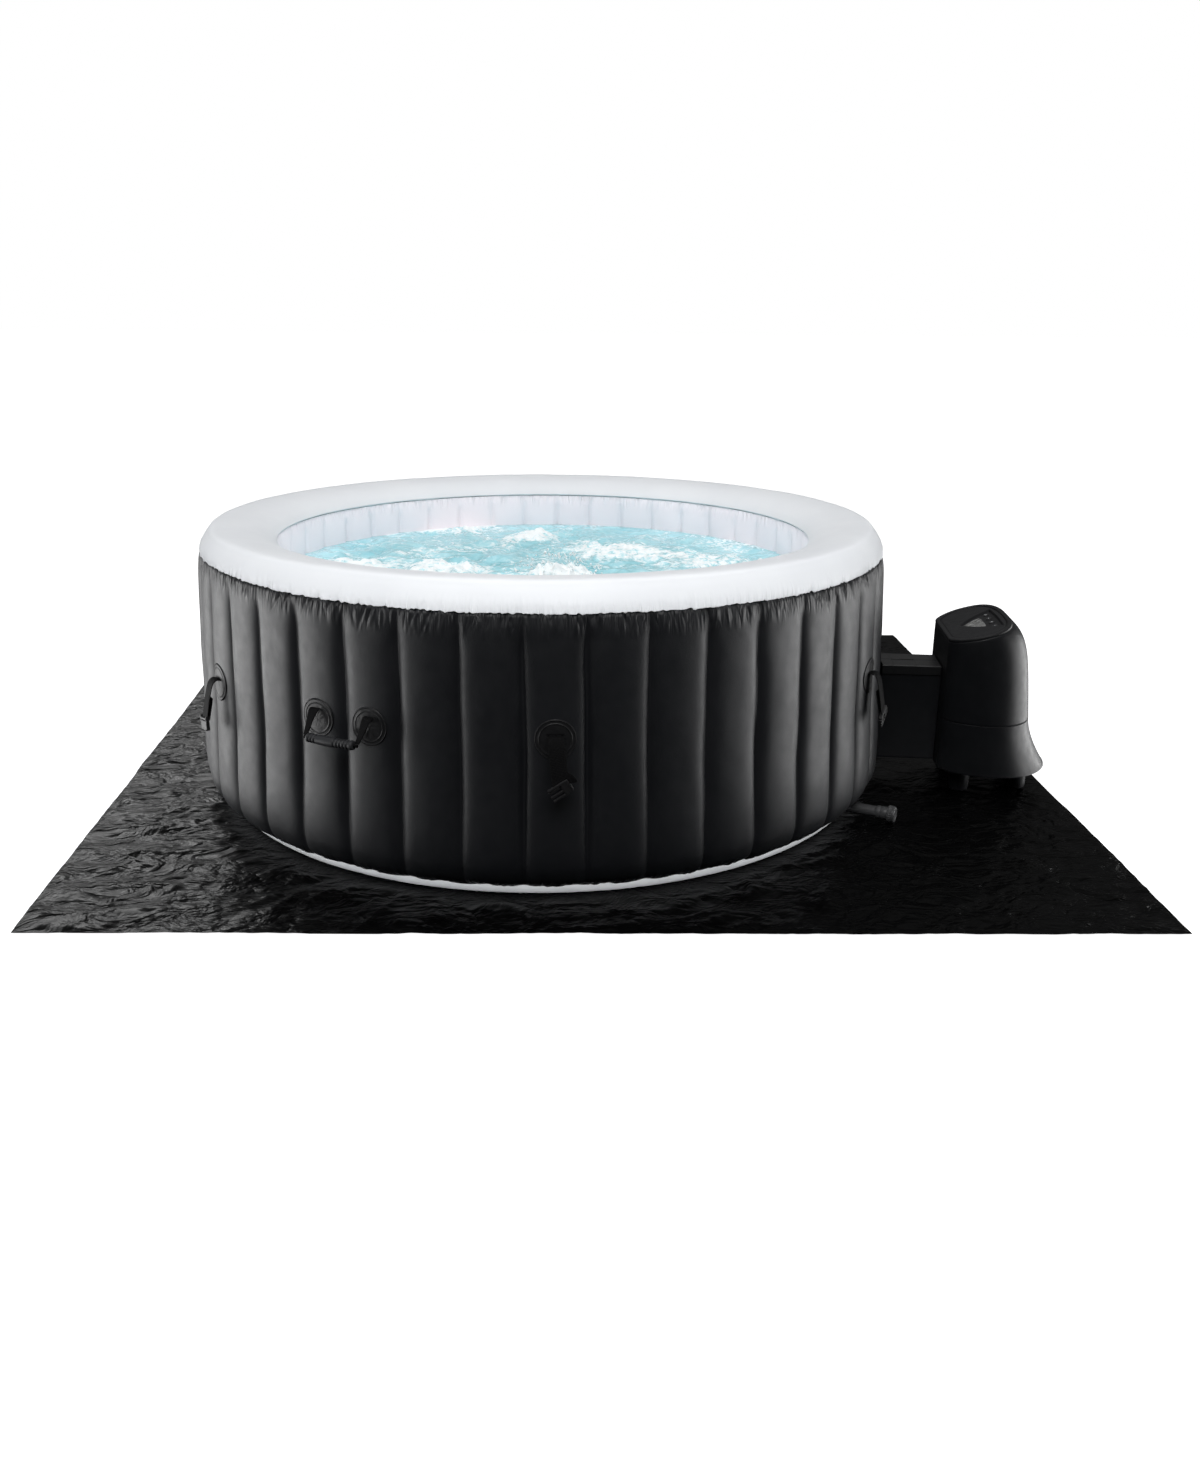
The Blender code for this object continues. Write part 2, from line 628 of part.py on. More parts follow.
def make_control_head(station):
    """The bezel, the panel with its three-sided pocket, the display lens and four buttons."""
    head = bpy.data.objects.new("panel_frame", None)
    head.location = (FLAT_P, 0, TOP_Z)
    head.rotation_euler = (0, -math.atan(TOP_SLOPE), 0)
    head.parent = station
    PARTS.objects.link(head)

    bezel_z0 = GAP
    bezel_z1 = 0.0075
    bezel = outline_mesh("top_bezel", [panel_outline(0.0005), panel_outline(0.0130)],
                         bezel_z1 - bezel_z0)
    add_piece("top_bezel", bezel, DARK_PLASTIC, head, (0, 0, (bezel_z0 + bezel_z1) / 2))

    panel_z0 = -0.0120
    panel_z1 = 0.0050
    pocket_z = -0.0030
    panel_mesh = outline_mesh("control_panel", [panel_outline(0.0135)], panel_z1 - panel_z0)
    panel = add_piece("control_panel", panel_mesh, DARK_PLASTIC, head,
                      (0, 0, (panel_z0 + panel_z1) / 2))
    depth = 0.020
    pocket = outline_mesh("pocket", [bowed_triangle(0.0474, 0.1450, 0.092, 0.010)], depth)
    boolean(panel, add_cutter("pocket", pocket, head, (0, 0, pocket_z + depth / 2)))

    lens_t = 0.0018
    lens = outline_mesh("display_lens", [bowed_triangle(0.0510, 0.1060, 0.054, 0.006)], lens_t)
    add_piece("display_lens", lens, GLASS, head, (0, 0, pocket_z + GAP + lens_t / 2))

    button_r = 0.0075
    button_z0 = -0.0045
    button_z1 = 0.0000
    well_z = -0.0062
    for number, q in enumerate((-0.060, -0.020, 0.020, 0.060), start=1):
        mesh = rod_mesh("button_%d" % number, button_r, button_z1 - button_z0, 16)
        spot = (0.1270, q, (button_z0 + button_z1) / 2)
        add_piece("button_%d" % number, mesh, GREY_PLASTIC, head, spot)
        well = rod_mesh("button_well", button_r + 0.0006, 0.020, 16)
        name = "button_well_%d" % number
        boolean(panel, add_cutter(name, well, head, (0.1270, q, well_z + 0.010)))

    add_piece("control_board", box_mesh("control_board", (0.090, 0.150, 0.0016)), BOARD, head,
              (0.085, 0, -0.024))


def make_machinery(station):
    """The circulation pump, the water heater and the air blower inside the case."""
    q, z = VOLUTE_SPOT
    turned_piece("pump_volute", [
        (0.0390, 1.0850), (0.0390, 1.1320), (0.0, 1.1320), (0.0, 1.1350), (0.0420, 1.1350),
        (0.0420, 1.0850)], DARK_PLASTIC, 16, station, (0, q, z), ALONG_X)
    turned_piece("pump_impeller", [
        (0.0, 0.013), (0.0340, 0.013), (0.0340, 0.006), (0.0100, 0.003), (0.0100, -0.013),
        (0.0, -0.013)], PALE_PLASTIC, 16, station, (1.1080, q, z), ALONG_X)
    turned_piece("pump_motor", [
        (0.0, 1.2150), (0.0330, 1.2150), (0.0360, 1.2120), (0.0360, 1.1353), (0.0, 1.1353)],
        STEEL, 16, station, (0, q, z), ALONG_X)
    along_q = (math.radians(-90), 0, 0)
    turned_piece("heater_tube", [
        (0.0225, 0.0900), (0.0260, 0.0900), (0.0260, -0.0900), (0.0225, -0.0900)], STEEL, 16,
        station, (1.2620, 0, 0.1100), along_q)
    turned_piece("air_blower", [
        (0.0520, 0.3180), (0.0550, 0.3180), (0.0550, 0.2620), (0.0, 0.2620), (0.0, 0.2650),
        (0.0520, 0.2650)], DARK_PLASTIC, 18, station, (*BLOWER_SPOT, 0))
    turned_piece("blower_fan", [
        (0.0, 0.0150), (0.0150, 0.0150), (0.0150, 0.0060), (0.0480, 0.0060), (0.0480, -0.0150),
        (0.0, -0.0150)], PALE_PLASTIC, 18, station, (*BLOWER_SPOT, 0.2900))


# ---------------------------------------------------------------- assembly
def build():
    outer_wall = make_outer_wall()
    inner_wall = make_inner_wall()
    make_top_rim()
    beams = make_wall_beams()
    tray = make_base()
    make_bubble_ring()
    make_drain(outer_wall, tray, beams)
    make_air_valve(outer_wall)
    for name, angle in HANDLE_ANGLES.items():
        make_handle(name, angle)
    for number, (angle, tilt) in enumerate(zip(STRAP_ANGLES, BUCKLE_TILTS), start=1):
        make_cover_strap(number, angle, tilt)

    station = new_empty("station_frame", STATION_ANGLE)
    lower, upper = make_case(station)
    boolean(lower, make_port("water_out", station, -PORT_Q, WATER_Z, outer_wall, inner_wall))
    boolean(lower, make_port("water_in", station, PORT_Q, WATER_Z, outer_wall, inner_wall))
    boolean(upper, make_port("air", station, PORT_Q, AIR_Z, outer_wall, inner_wall))
    make_hose_cover(station)
    make_filter(station)
    make_control_head(station)
    make_machinery(station)


build()
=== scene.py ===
import math

import bmesh
import bpy
import numpy as np
from mathutils import Matrix, Vector


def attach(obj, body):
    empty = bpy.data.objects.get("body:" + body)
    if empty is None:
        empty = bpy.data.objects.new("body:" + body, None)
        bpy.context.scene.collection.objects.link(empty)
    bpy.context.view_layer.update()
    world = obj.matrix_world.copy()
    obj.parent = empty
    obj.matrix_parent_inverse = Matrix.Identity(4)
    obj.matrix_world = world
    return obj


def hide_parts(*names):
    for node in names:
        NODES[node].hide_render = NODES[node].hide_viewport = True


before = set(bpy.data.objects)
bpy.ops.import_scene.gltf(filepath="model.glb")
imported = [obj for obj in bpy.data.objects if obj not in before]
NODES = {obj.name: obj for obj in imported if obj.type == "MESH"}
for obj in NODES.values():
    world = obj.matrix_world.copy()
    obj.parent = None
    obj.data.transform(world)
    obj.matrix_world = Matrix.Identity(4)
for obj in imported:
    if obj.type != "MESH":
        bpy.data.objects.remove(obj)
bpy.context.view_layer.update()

# ---- the tub's dimensions, in metres
FLUTES = 42
FLUTE = 2 * math.pi / FLUTES    # a flute's share of the circle, as an angle
WALL_R = 0.900
INNER_R = 0.690
HEM_Z = 0.034                   # where the black wall starts, over the tray
SEAM_Z = 0.643                  # where the black wall ends, under the rim
BASIN_Z = (0.020, 0.652)        # the inner wall's lower and upper edge
CLOTH_CORNERS = ((-1.115, -0.975), (1.309, -1.098), (1.404, 1.405), (-1.139, 1.470))
CLOTH_SIDE = 2.470
WATER_Z = 0.560
JET = (0.030, -0.200)           # where the water boils up most
PATCH_Z = 0.378                 # the middle of the cover straps' round patches
STATION_ANGLE = 9.5 * FLUTE
FLAT_P = 1.0605                 # how far from the axis the station's flat side stands
SPLIT_Z = 0.205                 # where the case's two halves meet
SKIRT_Z = 0.068
TOP_Z = 0.4125                  # the case's top edge over its flat side
TOP_SLOPE = 0.287


# ---- numbers and curves
def smooth(t):
    t = np.clip(t, 0.0, 1.0)
    return t * t * (3 - 2 * t)


def noise(x, y, seed, wrap=256):
    """Smooth random values from -1 to 1 over a plane; x repeats after wrap."""
    table = np.random.default_rng(seed).random((wrap, 256)) * 2 - 1
    x, y = np.broadcast_arrays(np.asarray(x, float), np.asarray(y, float))
    i, j = np.floor(x).astype(int), np.floor(y).astype(int)
    u, v = smooth(x - i), smooth(y - j)
    low = table[i % wrap, j % 256] * (1 - u) + table[(i + 1) % wrap, j % 256] * u
    high = table[i % wrap, (j + 1) % 256] * (1 - u) + table[(i + 1) % wrap, (j + 1) % 256] * u
    return low * (1 - v) + high * v


def noises(x, y, *layers):
    """A sum of noise; each layer is (height, its size in x and in y, seed)."""
    return sum(height * noise(x / a, y / b, seed) for height, a, b, seed in layers)


def turns(count, start=0.0):
    """Evenly spaced angles, once round."""
    return np.linspace(start, start + 2 * math.pi, count, endpoint=False)


def curve_through(points, count):
    """A smooth line, in metres, through points given in millimetres."""
    p = np.array(points, float) / 1000
    p = np.vstack([2 * p[0] - p[1], p, 2 * p[-1] - p[-2]])
    t = np.linspace(0, len(p) - 3 - 1e-9, count)
    i = t.astype(int)
    f = (t - i)[:, None]
    a, b, c, d = p[i], p[i + 1], p[i + 2], p[i + 3]
    return 0.5 * (2 * b + (c - a) * f + (2 * a - 5 * b + 4 * c - d) * f ** 2
                  + (3 * b - a - 3 * c + d) * f ** 3)


def outward(phi):
    """The unit vector away from the tub's axis; angle 0 is the front, and it grows towards +X."""
    phi = np.asarray(phi, float)
    return np.stack([np.sin(phi), -np.cos(phi), 0 * phi], -1)


def along(phi):
    """The unit vector round the tub, anticlockwise from above."""
    phi = np.asarray(phi, float)
    return np.stack([np.cos(phi), np.sin(phi), 0 * phi], -1)


def polar(phi, radius, height):
    phi, radius, height = np.broadcast_arrays(phi, radius, height)
    return np.stack([radius * np.sin(phi), -radius * np.cos(phi), height], -1)


UP = np.array([0.0, 0.0, 1.0])


# ---- meshes
def link(obj):
    bpy.context.scene.collection.objects.link(obj)
    return obj


def new_object(name, vertices, faces, uvs=None, sharp=40):
    mesh = bpy.data.meshes.new(name)
    mesh.from_pydata(np.asarray(vertices).reshape(-1, 3).tolist(), [], faces)
    if uvs is not None:
        layer = mesh.uv_layers.new(name="flat")
        layer.data.foreach_set("uv", np.asarray(uvs, np.float32).ravel())
    mesh.shade_smooth()
    mesh.set_sharp_from_angle(angle=math.radians(sharp))
    return link(bpy.data.objects.new(name, mesh))


def grid(name, points, wrap=False, caps=False, size=(1.0, 1.0), sharp=40):
    """A surface through rows of points. size is its width and its length, or each row's distance
    along it, for the weave's coordinates."""
    points = np.asarray(points, float)
    rows, cols = points.shape[:2]
    run = np.linspace(0, size[1], rows) if np.isscalar(size[1]) else np.asarray(size[1])
    n = cols if wrap else cols - 1
    r, c = np.arange(rows - 1)[:, None], np.arange(n)[None, :]
    corners = [(r, c), (r, c + 1), (r + 1, c + 1), (r + 1, c)]
    quads = np.stack([a * cols + b % cols for a, b in corners], -1).reshape(-1, 4)
    uvs = np.stack([np.stack(np.broadcast_arrays(b / n * size[0], run[a]), -1)
                    for a, b in corners], 2).reshape(-1, 2)
    faces = quads.tolist()
    if caps:
        last = (rows - 1) * cols
        faces += [list(range(cols))[::-1], list(range(last, last + cols))]
        uvs = np.vstack([uvs, np.zeros((2 * cols, 2))])
    return new_object(name, points, faces, uvs, sharp)


def frames_along(line, across):
    """The directions across a line and away from it at each of its points, as unit vectors."""
    tangent = np.gradient(line, axis=0)
    tangent /= np.linalg.norm(tangent, axis=1)[:, None]
    across = np.broadcast_to(np.asarray(across, float), line.shape)
    across = across - (across * tangent).sum(1)[:, None] * tangent
    across /= np.linalg.norm(across, axis=1)[:, None]
    return across, np.cross(tangent, across)


def ribbon(name, line, across, width, thickness, sides=20):
    """A flat strip along a line."""
    line = np.asarray(line, float)
    side, normal = frames_along(line, across)
    width = np.broadcast_to(width, len(line))[:, None]
    turn = turns(sides)[None, :]
    x = np.sign(np.cos(turn)) * np.abs(np.cos(turn)) ** 0.45 * width / 2
    y = np.sign(np.sin(turn)) * np.abs(np.sin(turn)) ** 0.30 * thickness / 2
    points = line[:, None] + side[:, None] * x[..., None] + normal[:, None] * y[..., None]
    length = float(np.linalg.norm(np.diff(line, axis=0), axis=1).sum())
    return grid(name, points, True, True, (2 * float(width.mean()), length), 70)


def tube(name, line, radii, sides=24, across=(0.0123, 0.0321, 1.0), sharp=40):
    """A round bar along a line; radii has one value per point, or one per point and side."""
    line = np.asarray(line, float)
    side, normal = frames_along(line, across)
    radii = np.asarray(radii, float)
    if radii.ndim == 1:
        radii = np.repeat(radii[:, None], sides, 1)
    turn = turns(radii.shape[1])[None, :, None]
    ring = side[:, None] * np.cos(turn) + normal[:, None] * np.sin(turn)
    return grid(name, line[:, None] + ring * radii[..., None], True, True, (0.1, 0.1), sharp)


def bevelled(obj, width, limit):
    """Rounds an object's edges: all of them (NONE), or the sharp ones (ANGLE)."""
    bevel = obj.modifiers.new("bevel", "BEVEL")
    bevel.width, bevel.segments, bevel.limit_method = width, 3, limit
    evaluated = obj.evaluated_get(bpy.context.evaluated_depsgraph_get())
    mesh = bpy.data.meshes.new_from_object(evaluated)
    obj.modifiers.clear()
    obj.data = mesh
    return obj


def join(name, objects):
    """One object out of several."""
    mesh = bmesh.new()
    for obj in objects:
        mesh.from_mesh(obj.data)
        bpy.data.objects.remove(obj)
    data = bpy.data.meshes.new(name)
    mesh.to_mesh(data)
    mesh.free()
    return link(bpy.data.objects.new(name, data))


def paint(obj, look):
    obj.data.materials.clear()
    obj.data.materials.append(look)


def place(obj, look, body, replaced=()):
    """Gives a piece its material, its body and the nodes it replaces."""
    paint(obj, look)
    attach(obj, body)
    if replaced:
        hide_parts(*replaced)
    return obj


# ---- materials
class Look:
    """Builds one node material around a Principled shader."""

    def __init__(self, name, **settings):
        self.material = bpy.data.materials.new(name)
        self.material.use_nodes = True
        self.tree = self.material.node_tree
        self.shader = self.tree.nodes["Principled BSDF"]
        self.spot = self.add("TexCoord").outputs["Object"]
        self.flat = self.add("UVMap", uv_map="flat").outputs["UV"]
        self.set(**settings)

    def add(self, kind, **settings):
        node = self.tree.nodes.new("ShaderNode" + kind)
        for key, value in settings.items():
            if key in node.inputs:
                self.join(node.inputs[key], value)
            elif hasattr(node, key):
                setattr(node, key, value)
            else:
                self.join(node.inputs[key.replace("_", " ")], value)
        return node

    def join(self, socket, value):
        if isinstance(value, bpy.types.NodeSocket):
            self.tree.links.new(value, socket)
        elif socket.type == "RGBA":
            socket.default_value = (*value, 1.0)
        else:
            socket.default_value = value

    def set(self, **settings):
        for key, value in settings.items():
            self.join(self.shader.inputs[key.replace("_", " ")], value)

    def scaled(self, factors, source=None):
        return self.add("Mapping", Vector=source or self.spot, Scale=factors).outputs["Vector"]

    def noise(self, scale, detail=3.0, rough=0.5, vector=None, distortion=0.0):
        return self.add("TexNoise", Vector=vector or self.spot, Scale=scale, Detail=detail,
                        Roughness=rough, Distortion=distortion).outputs["Fac"]

    def ridges(self, scale, detail, rough, vector, distortion):
        """Noise folded into sharp creases."""
        waves = self.noise(scale, detail, rough, vector, distortion)
        return self.distance(waves, 0.5)

    def bands(self, direction, scale, vector, distortion=0.0):
        return self.add("TexWave", Vector=vector, bands_direction=direction, Scale=scale,
                        Distortion=distortion).outputs["Fac"]

    def distance(self, first, second):
        return self.math("ABSOLUTE", self.math("SUBTRACT", first, second))

    def spread(self, value, low=0.0, high=1.0, start=0.3, end=0.7):
        """A value from start to end becomes one from low to high."""
        node = self.add("MapRange", Value=value)
        for socket, number in (("From Min", start), ("From Max", end), ("To Min", low),
                               ("To Max", high)):
            node.inputs[socket].default_value = number
        return node.outputs["Result"]

    def mix(self, share, first, second):
        node = self.tree.nodes.new("ShaderNodeMix")
        node.data_type = "RGBA"
        for number, value in ((0, share), (6, first), (7, second)):
            self.join(node.inputs[number], value)
        return node.outputs[2]

    def math(self, operation, first, second=0.0):
        node = self.add("Math", operation=operation)
        self.join(node.inputs[0], first)
        self.join(node.inputs[1], second)
        return node.outputs[0]

    def bump(self, *layers):
        """Stacks bumps; each layer is (height, strength, distance)."""
        normal = None
        for height, strength, distance in layers:
            node = self.add("Bump", Height=height, Strength=strength, Distance=distance)
            if normal is not None:
                self.join(node.inputs["Normal"], normal)
            normal = node.outputs["Normal"]
        self.set(Normal=normal)


def laminate(name, dark, light, rough, specular, grain=0.25, gathers=()):
    """Coated fabric: a faint woven relief, slow colour changes and a satin sheen. Gathers are
    (distance along the piece, reach, strength) of seams that draw the fabric into fine folds."""
    look = Look(name, Specular_IOR_Level=specular)
    slow = look.noise(5.0, 3.0)
    look.set(Base_Color=look.mix(look.spread(slow), dark, light))
    fine = look.noise(420.0, 2.0, 0.6)
    look.set(Roughness=look.spread(look.noise(38.0, 4.0, 0.6), rough - 0.04, rough + 0.05))
    threads = look.noise(95.0, 2.0, 0.5, look.scaled((1.0, 1.0, 16.0)))
    layers = [(threads, grain, 0.0007), (fine, grain * 0.6, 0.0004)]
    across = look.add("SeparateXYZ", Vector=look.flat).outputs["Y"]
    for seam, reach, strength in gathers:
        folds = look.ridges(1.0, 2.0, 0.5, look.scaled((46.0, 8.0, 1.0), look.flat), 0.25)
        near = look.spread(look.distance(across, seam), 1.0, 0.0, 0.0, reach)
        near = look.math("POWER", near, 1.6)
        layers.append((look.math("MULTIPLY", folds, near), strength, 0.045))
    look.bump(*layers)
    return look.material


def moulded(name, colour, rough, specular=0.5, grain=0.15, coat=0.0):
    """Moulded plastic: a fine spark-eroded texture, with faint handling marks."""
    look = Look(name, Specular_IOR_Level=specular, Coat_Weight=coat)
    worn = look.noise(14.0, 4.0, 0.6)
    lighter = tuple(min(1.0, c * 1.22 + 0.002) for c in colour)
    look.set(Base_Color=look.mix(look.spread(worn), colour, lighter))
    look.set(Roughness=look.spread(look.noise(60.0, 4.0, 0.6), rough - 0.05, rough + 0.06))
    look.bump((look.noise(900.0, 2.0, 0.6), grain, 0.0003))
    return look.material


def webbing(name, colour):
    """Woven strapping: ribs across and a herringbone twill along it."""
    look = Look(name, Roughness=0.70, Specular_IOR_Level=0.12)
    ribs = look.bands("Y", 180.0, look.flat, 0.4)
    twill = look.bands("DIAGONAL", 240.0, look.flat)
    lighter = tuple(c * 1.8 + 0.002 for c in colour)
    look.set(Base_Color=look.mix(look.math("MULTIPLY", ribs, twill), colour, lighter))
    look.bump((ribs, 0.5, 0.0006), (twill, 0.4, 0.0004))
    return look.material


BLACK_SKIN = laminate("black_skin", (0.0125, 0.0128, 0.0140), (0.0165, 0.0168, 0.0182), 0.44, 0.42)
WALL_SKIN = laminate("wall_skin_black", (0.0072, 0.0085, 0.0115), (0.0105, 0.0118, 0.0150),
                     0.50, 0.70, 0.25, ((0.609, 0.058, 0.75), (0.0, 0.036, 0.7)))
RIM_SKIN = laminate("rim_skin_white", (0.74, 0.76, 0.79), (0.78, 0.80, 0.825), 0.42, 0.35, 0.18,
                    ((0.0, 0.036, 0.4), (0.262, 0.020, 0.3)))
TRAY_SKIN = laminate("tray_skin", (0.86, 0.89, 0.92), (0.90, 0.92, 0.94), 0.45, 0.35, 0.18)
BASIN_SKIN = laminate("basin_skin", (0.87, 0.82, 0.86), (0.91, 0.86, 0.895), 0.45, 0.30, 0.18,
                      ((0.632, 0.040, 0.6),))
FLOOR_SKIN = laminate("floor_skin", (0.72, 0.76, 0.84), (0.78, 0.81, 0.87), 0.50, 0.30, 0.2)
BEAM_SKIN = laminate("beam_skin", (0.55, 0.57, 0.60), (0.62, 0.64, 0.66), 0.50, 0.30, 0.2)
WEBBING = webbing("black_strap", (0.0045, 0.0045, 0.0050))
BUCKLE = moulded("buckle_black", (0.020, 0.020, 0.021), 0.36, 0.4, 0.08)
GRIP = moulded("grip_grey", (0.030, 0.031, 0.034), 0.45, 0.45, 0.2)
DRAIN = moulded("drain_grey", (0.070, 0.071, 0.074), 0.42, 0.45, 0.15)
CASE = moulded("case_black", (0.0095, 0.0102, 0.0120), 0.42, 0.30, 0.12)
# the lid is the case's black plastic with a slightly lighter base colour: painted sheen for the
# bright surroundings that the lid's top reflects
LID_PAINTED_SHEEN = moulded("lid_black_painted_sheen", (0.0120, 0.0123, 0.0132), 0.36, 0.65, 0.12)
BEZEL = moulded("bezel_grey", (0.014, 0.0143, 0.0158), 0.50, 0.30, 0.5)
PANEL = moulded("panel_grey", (0.018, 0.0185, 0.0200), 0.55, 0.25, 0.6)
BUTTON = moulded("button_grey", (0.035, 0.035, 0.037), 0.45, 0.45, 0.2)
RUBBER = moulded("hose_black", (0.013, 0.013, 0.014), 0.62, 0.35, 0.3)
PALE = moulded("pale_plastic", (0.62, 0.64, 0.66), 0.40, 0.45, 0.15)
HOUSING = moulded("machine_black", (0.030, 0.030, 0.033), 0.50, 0.45, 0.3)


def make_special_looks():
    steel = Look("brushed_steel", Metallic=1.0, Base_Color=(0.56, 0.57, 0.58))
    lines = steel.noise(60.0, 4.0, 0.6, steel.scaled((30.0, 30.0, 1.0)))
    steel.set(Roughness=steel.spread(lines, 0.22, 0.40))
    steel.bump((lines, 0.15, 0.0003))

    board = Look("circuit_green", Roughness=0.45)
    tracks = board.add("TexBrick", Vector=board.spot, Scale=42.0, Mortar_Size=0.02).outputs["Fac"]
    board.set(Base_Color=board.mix(tracks, (0.02, 0.11, 0.05), (0.20, 0.17, 0.06)))
    board.bump((tracks, 0.3, 0.0004))

    paper = Look("filter_fleece", Roughness=0.9, Sheen_Weight=0.3)
    fibres = paper.noise(260.0, 5.0, 0.7)
    paper.set(Base_Color=paper.mix(fibres, (0.66, 0.68, 0.71), (0.84, 0.86, 0.88)))
    paper.bump((fibres, 0.6, 0.0008))

    glass = Look("display_grey", Roughness=0.10, Specular_IOR_Level=0.6, Coat_Weight=0.6,
                 Coat_Roughness=0.05)
    clouds = glass.noise(55.0, 3.0, 0.5, glass.scaled((1.0, 2.4, 1.0)))
    clouds = glass.spread(clouds)
    glass.set(Base_Color=glass.mix(clouds, (0.16, 0.16, 0.155), (0.42, 0.42, 0.41)))
    glass.bump((glass.noise(180.0, 3.0), 0.12, 0.0006))
    return steel.material, board.material, paper.material, glass.material


STEEL, BOARD, PAPER, DISPLAY = make_special_looks()


# ---- the inflated wall
WALL_LINE = curve_through([(34, 869), (46, 887), (66, 901), (100, 908.8), (160, 908.5),
                           (230, 904.5), (300, 900.8), (400, 898), (480, 894.5), (560, 890.5),
                           (605, 887), (630, 882), (643, 877.5)], 240)
DEPTH_LINE = curve_through([(34, 3), (60, 11), (95, 15), (180, 19), (280, 20), (430, 19),
                            (560, 16), (600, 11), (625, 6), (643, 3)], 200)


def flute_share(phi, z):
    """0 at a flute's middle and 1 at its seams, which wander a little with height."""
    wander = 0.0030 / WALL_R * noise(phi / FLUTE, z / 0.11, 11, FLUTES)
    phase = (phi + wander) / FLUTE + 0.5
    return np.abs(2 * (phase - np.floor(phase)) - 1)


def wall_radius(phi, z):
    """Radius of the black wall's outer surface, without its puckers."""
    depth = np.interp(z, DEPTH_LINE[:, 0], DEPTH_LINE[:, 1])
    depth = 0.9 * depth * (1 + 0.12 * noise(phi / FLUTE + 0.5, z / 0.3, 12, FLUTES))
    share = flute_share(phi, z)
    radius = np.interp(z, WALL_LINE[:, 0], WALL_LINE[:, 1])
    return radius - depth * (0.4 * share ** 2 + 0.6 * share ** 6)


def round_tub(fine):
    return turns(FLUTES * fine, -math.pi)


def ripple(phi, times, up, seed):
    """Noise round the tub; each flute holds so many of its waves."""
    return noise(phi / FLUTE * times, up, seed, FLUTES * times)


def seam_drop(phi):
    """How far the seam under the rim hangs below its designed height, round the tub."""
    return np.interp(np.degrees(phi), (-90, -60, -40, 0, 20, 45, 60, 90),
                     (0.0, -0.0030, 0.0020, 0.0040, 0.0055, 0.0080, 0.0060, 0.0030), period=360)


def pinches(phi, drop, radius, seed, count, longest, deepest, width, lean):
    """Small gathered folds that start at a seam and die out over their length; drop is the
    distance from the seam. phi is one row of evenly spaced angles, drop one column."""
    rng = np.random.default_rng(seed)
    total = np.zeros((len(drop), len(phi)))
    step = phi[1] - phi[0]
    reach = int(4 * width / radius / step) + int(2 * lean * longest / radius / step) + 2
    for _ in range(count):
        centre = int(rng.integers(len(phi)))
        offset = rng.random() * step
        share = rng.random()
        length = longest * (0.35 + 0.65 * share ** 1.6)
        depth = deepest * (0.35 + 0.65 * rng.random()) * (0.5 + 0.5 * share)
        slant = lean * (1.1 * math.sin(phi[centre]) + 0.55 * rng.normal())
        w = width * (0.65 + 0.6 * rng.random())
        columns = np.arange(centre - reach, centre + reach + 1)
        s = (columns[None, :] - centre) * step * radius - offset - slant * drop[:, None]
        fade = np.clip(1 - drop[:, None] / length, 0, 1)
        w_here = w * (0.35 + 0.65 * fade)
        fold = -np.exp(-(s / w_here) ** 2) + 0.55 * np.exp(-((s - 1.7 * w_here) / w_here) ** 2)
        total[:, columns % len(phi)] += depth * fade ** 0.9 * fold
    return total


def make_wall():
    phi = round_tub(38)
    share = np.concatenate([np.linspace(0, 0.10, 13)[:-1], np.linspace(0.10, 0.86, 22)[:-1],
                            np.linspace(0.86, 1.0, 28)])[:, None]
    shift = 0.8 * ripple(phi, 2, 3.0, 21)
    scallop = np.abs(np.sin(1.5 * (phi / FLUTE + 0.5) * math.pi + shift))
    hem = 0.0375 - 0.0065 * scallop ** 0.6
    full = SEAM_Z - 0.0005 + 0.0006 * ripple(phi, 9, 1.0, 22)
    top = full - seam_drop(phi)
    z = hem[None, :] + share * (top - hem)[None, :]
    from_hem = (share * (SEAM_Z - HEM_Z)).ravel()
    from_top = SEAM_Z - HEM_Z - from_hem
    r = wall_radius(phi[None, :], z + seam_drop(phi) * share ** 6)
    r += pinches(phi, from_top, WALL_R, 31, FLUTES * 8, 0.060, 0.0062, 0.0040, 0.30)
    r += pinches(phi, from_hem, WALL_R, 32, FLUTES * 5, 0.034, 0.0036, 0.0046, 0.35)
    gather = np.clip(1 - from_top / 0.07, 0, 1)[:, None] ** 1.5
    gather = gather + np.clip(1 - from_hem / 0.05, 0, 1)[:, None] ** 1.5
    r += 0.0009 * gather * ripple(phi[None, :], 12, z / 0.03, 33)
    r += 0.0005 * ripple(phi[None, :], 4, z / 0.045, 34)
    r -= 0.0036 * np.clip(1 - from_top / 0.005, 0, 1)[:, None]
    size = (2 * math.pi * WALL_R, from_hem)
    wall = grid("wall_skin", polar(phi[None, :], r, z), True, size=size, sharp=180)
    place(wall, WALL_SKIN, "root", ["outer_wall"])


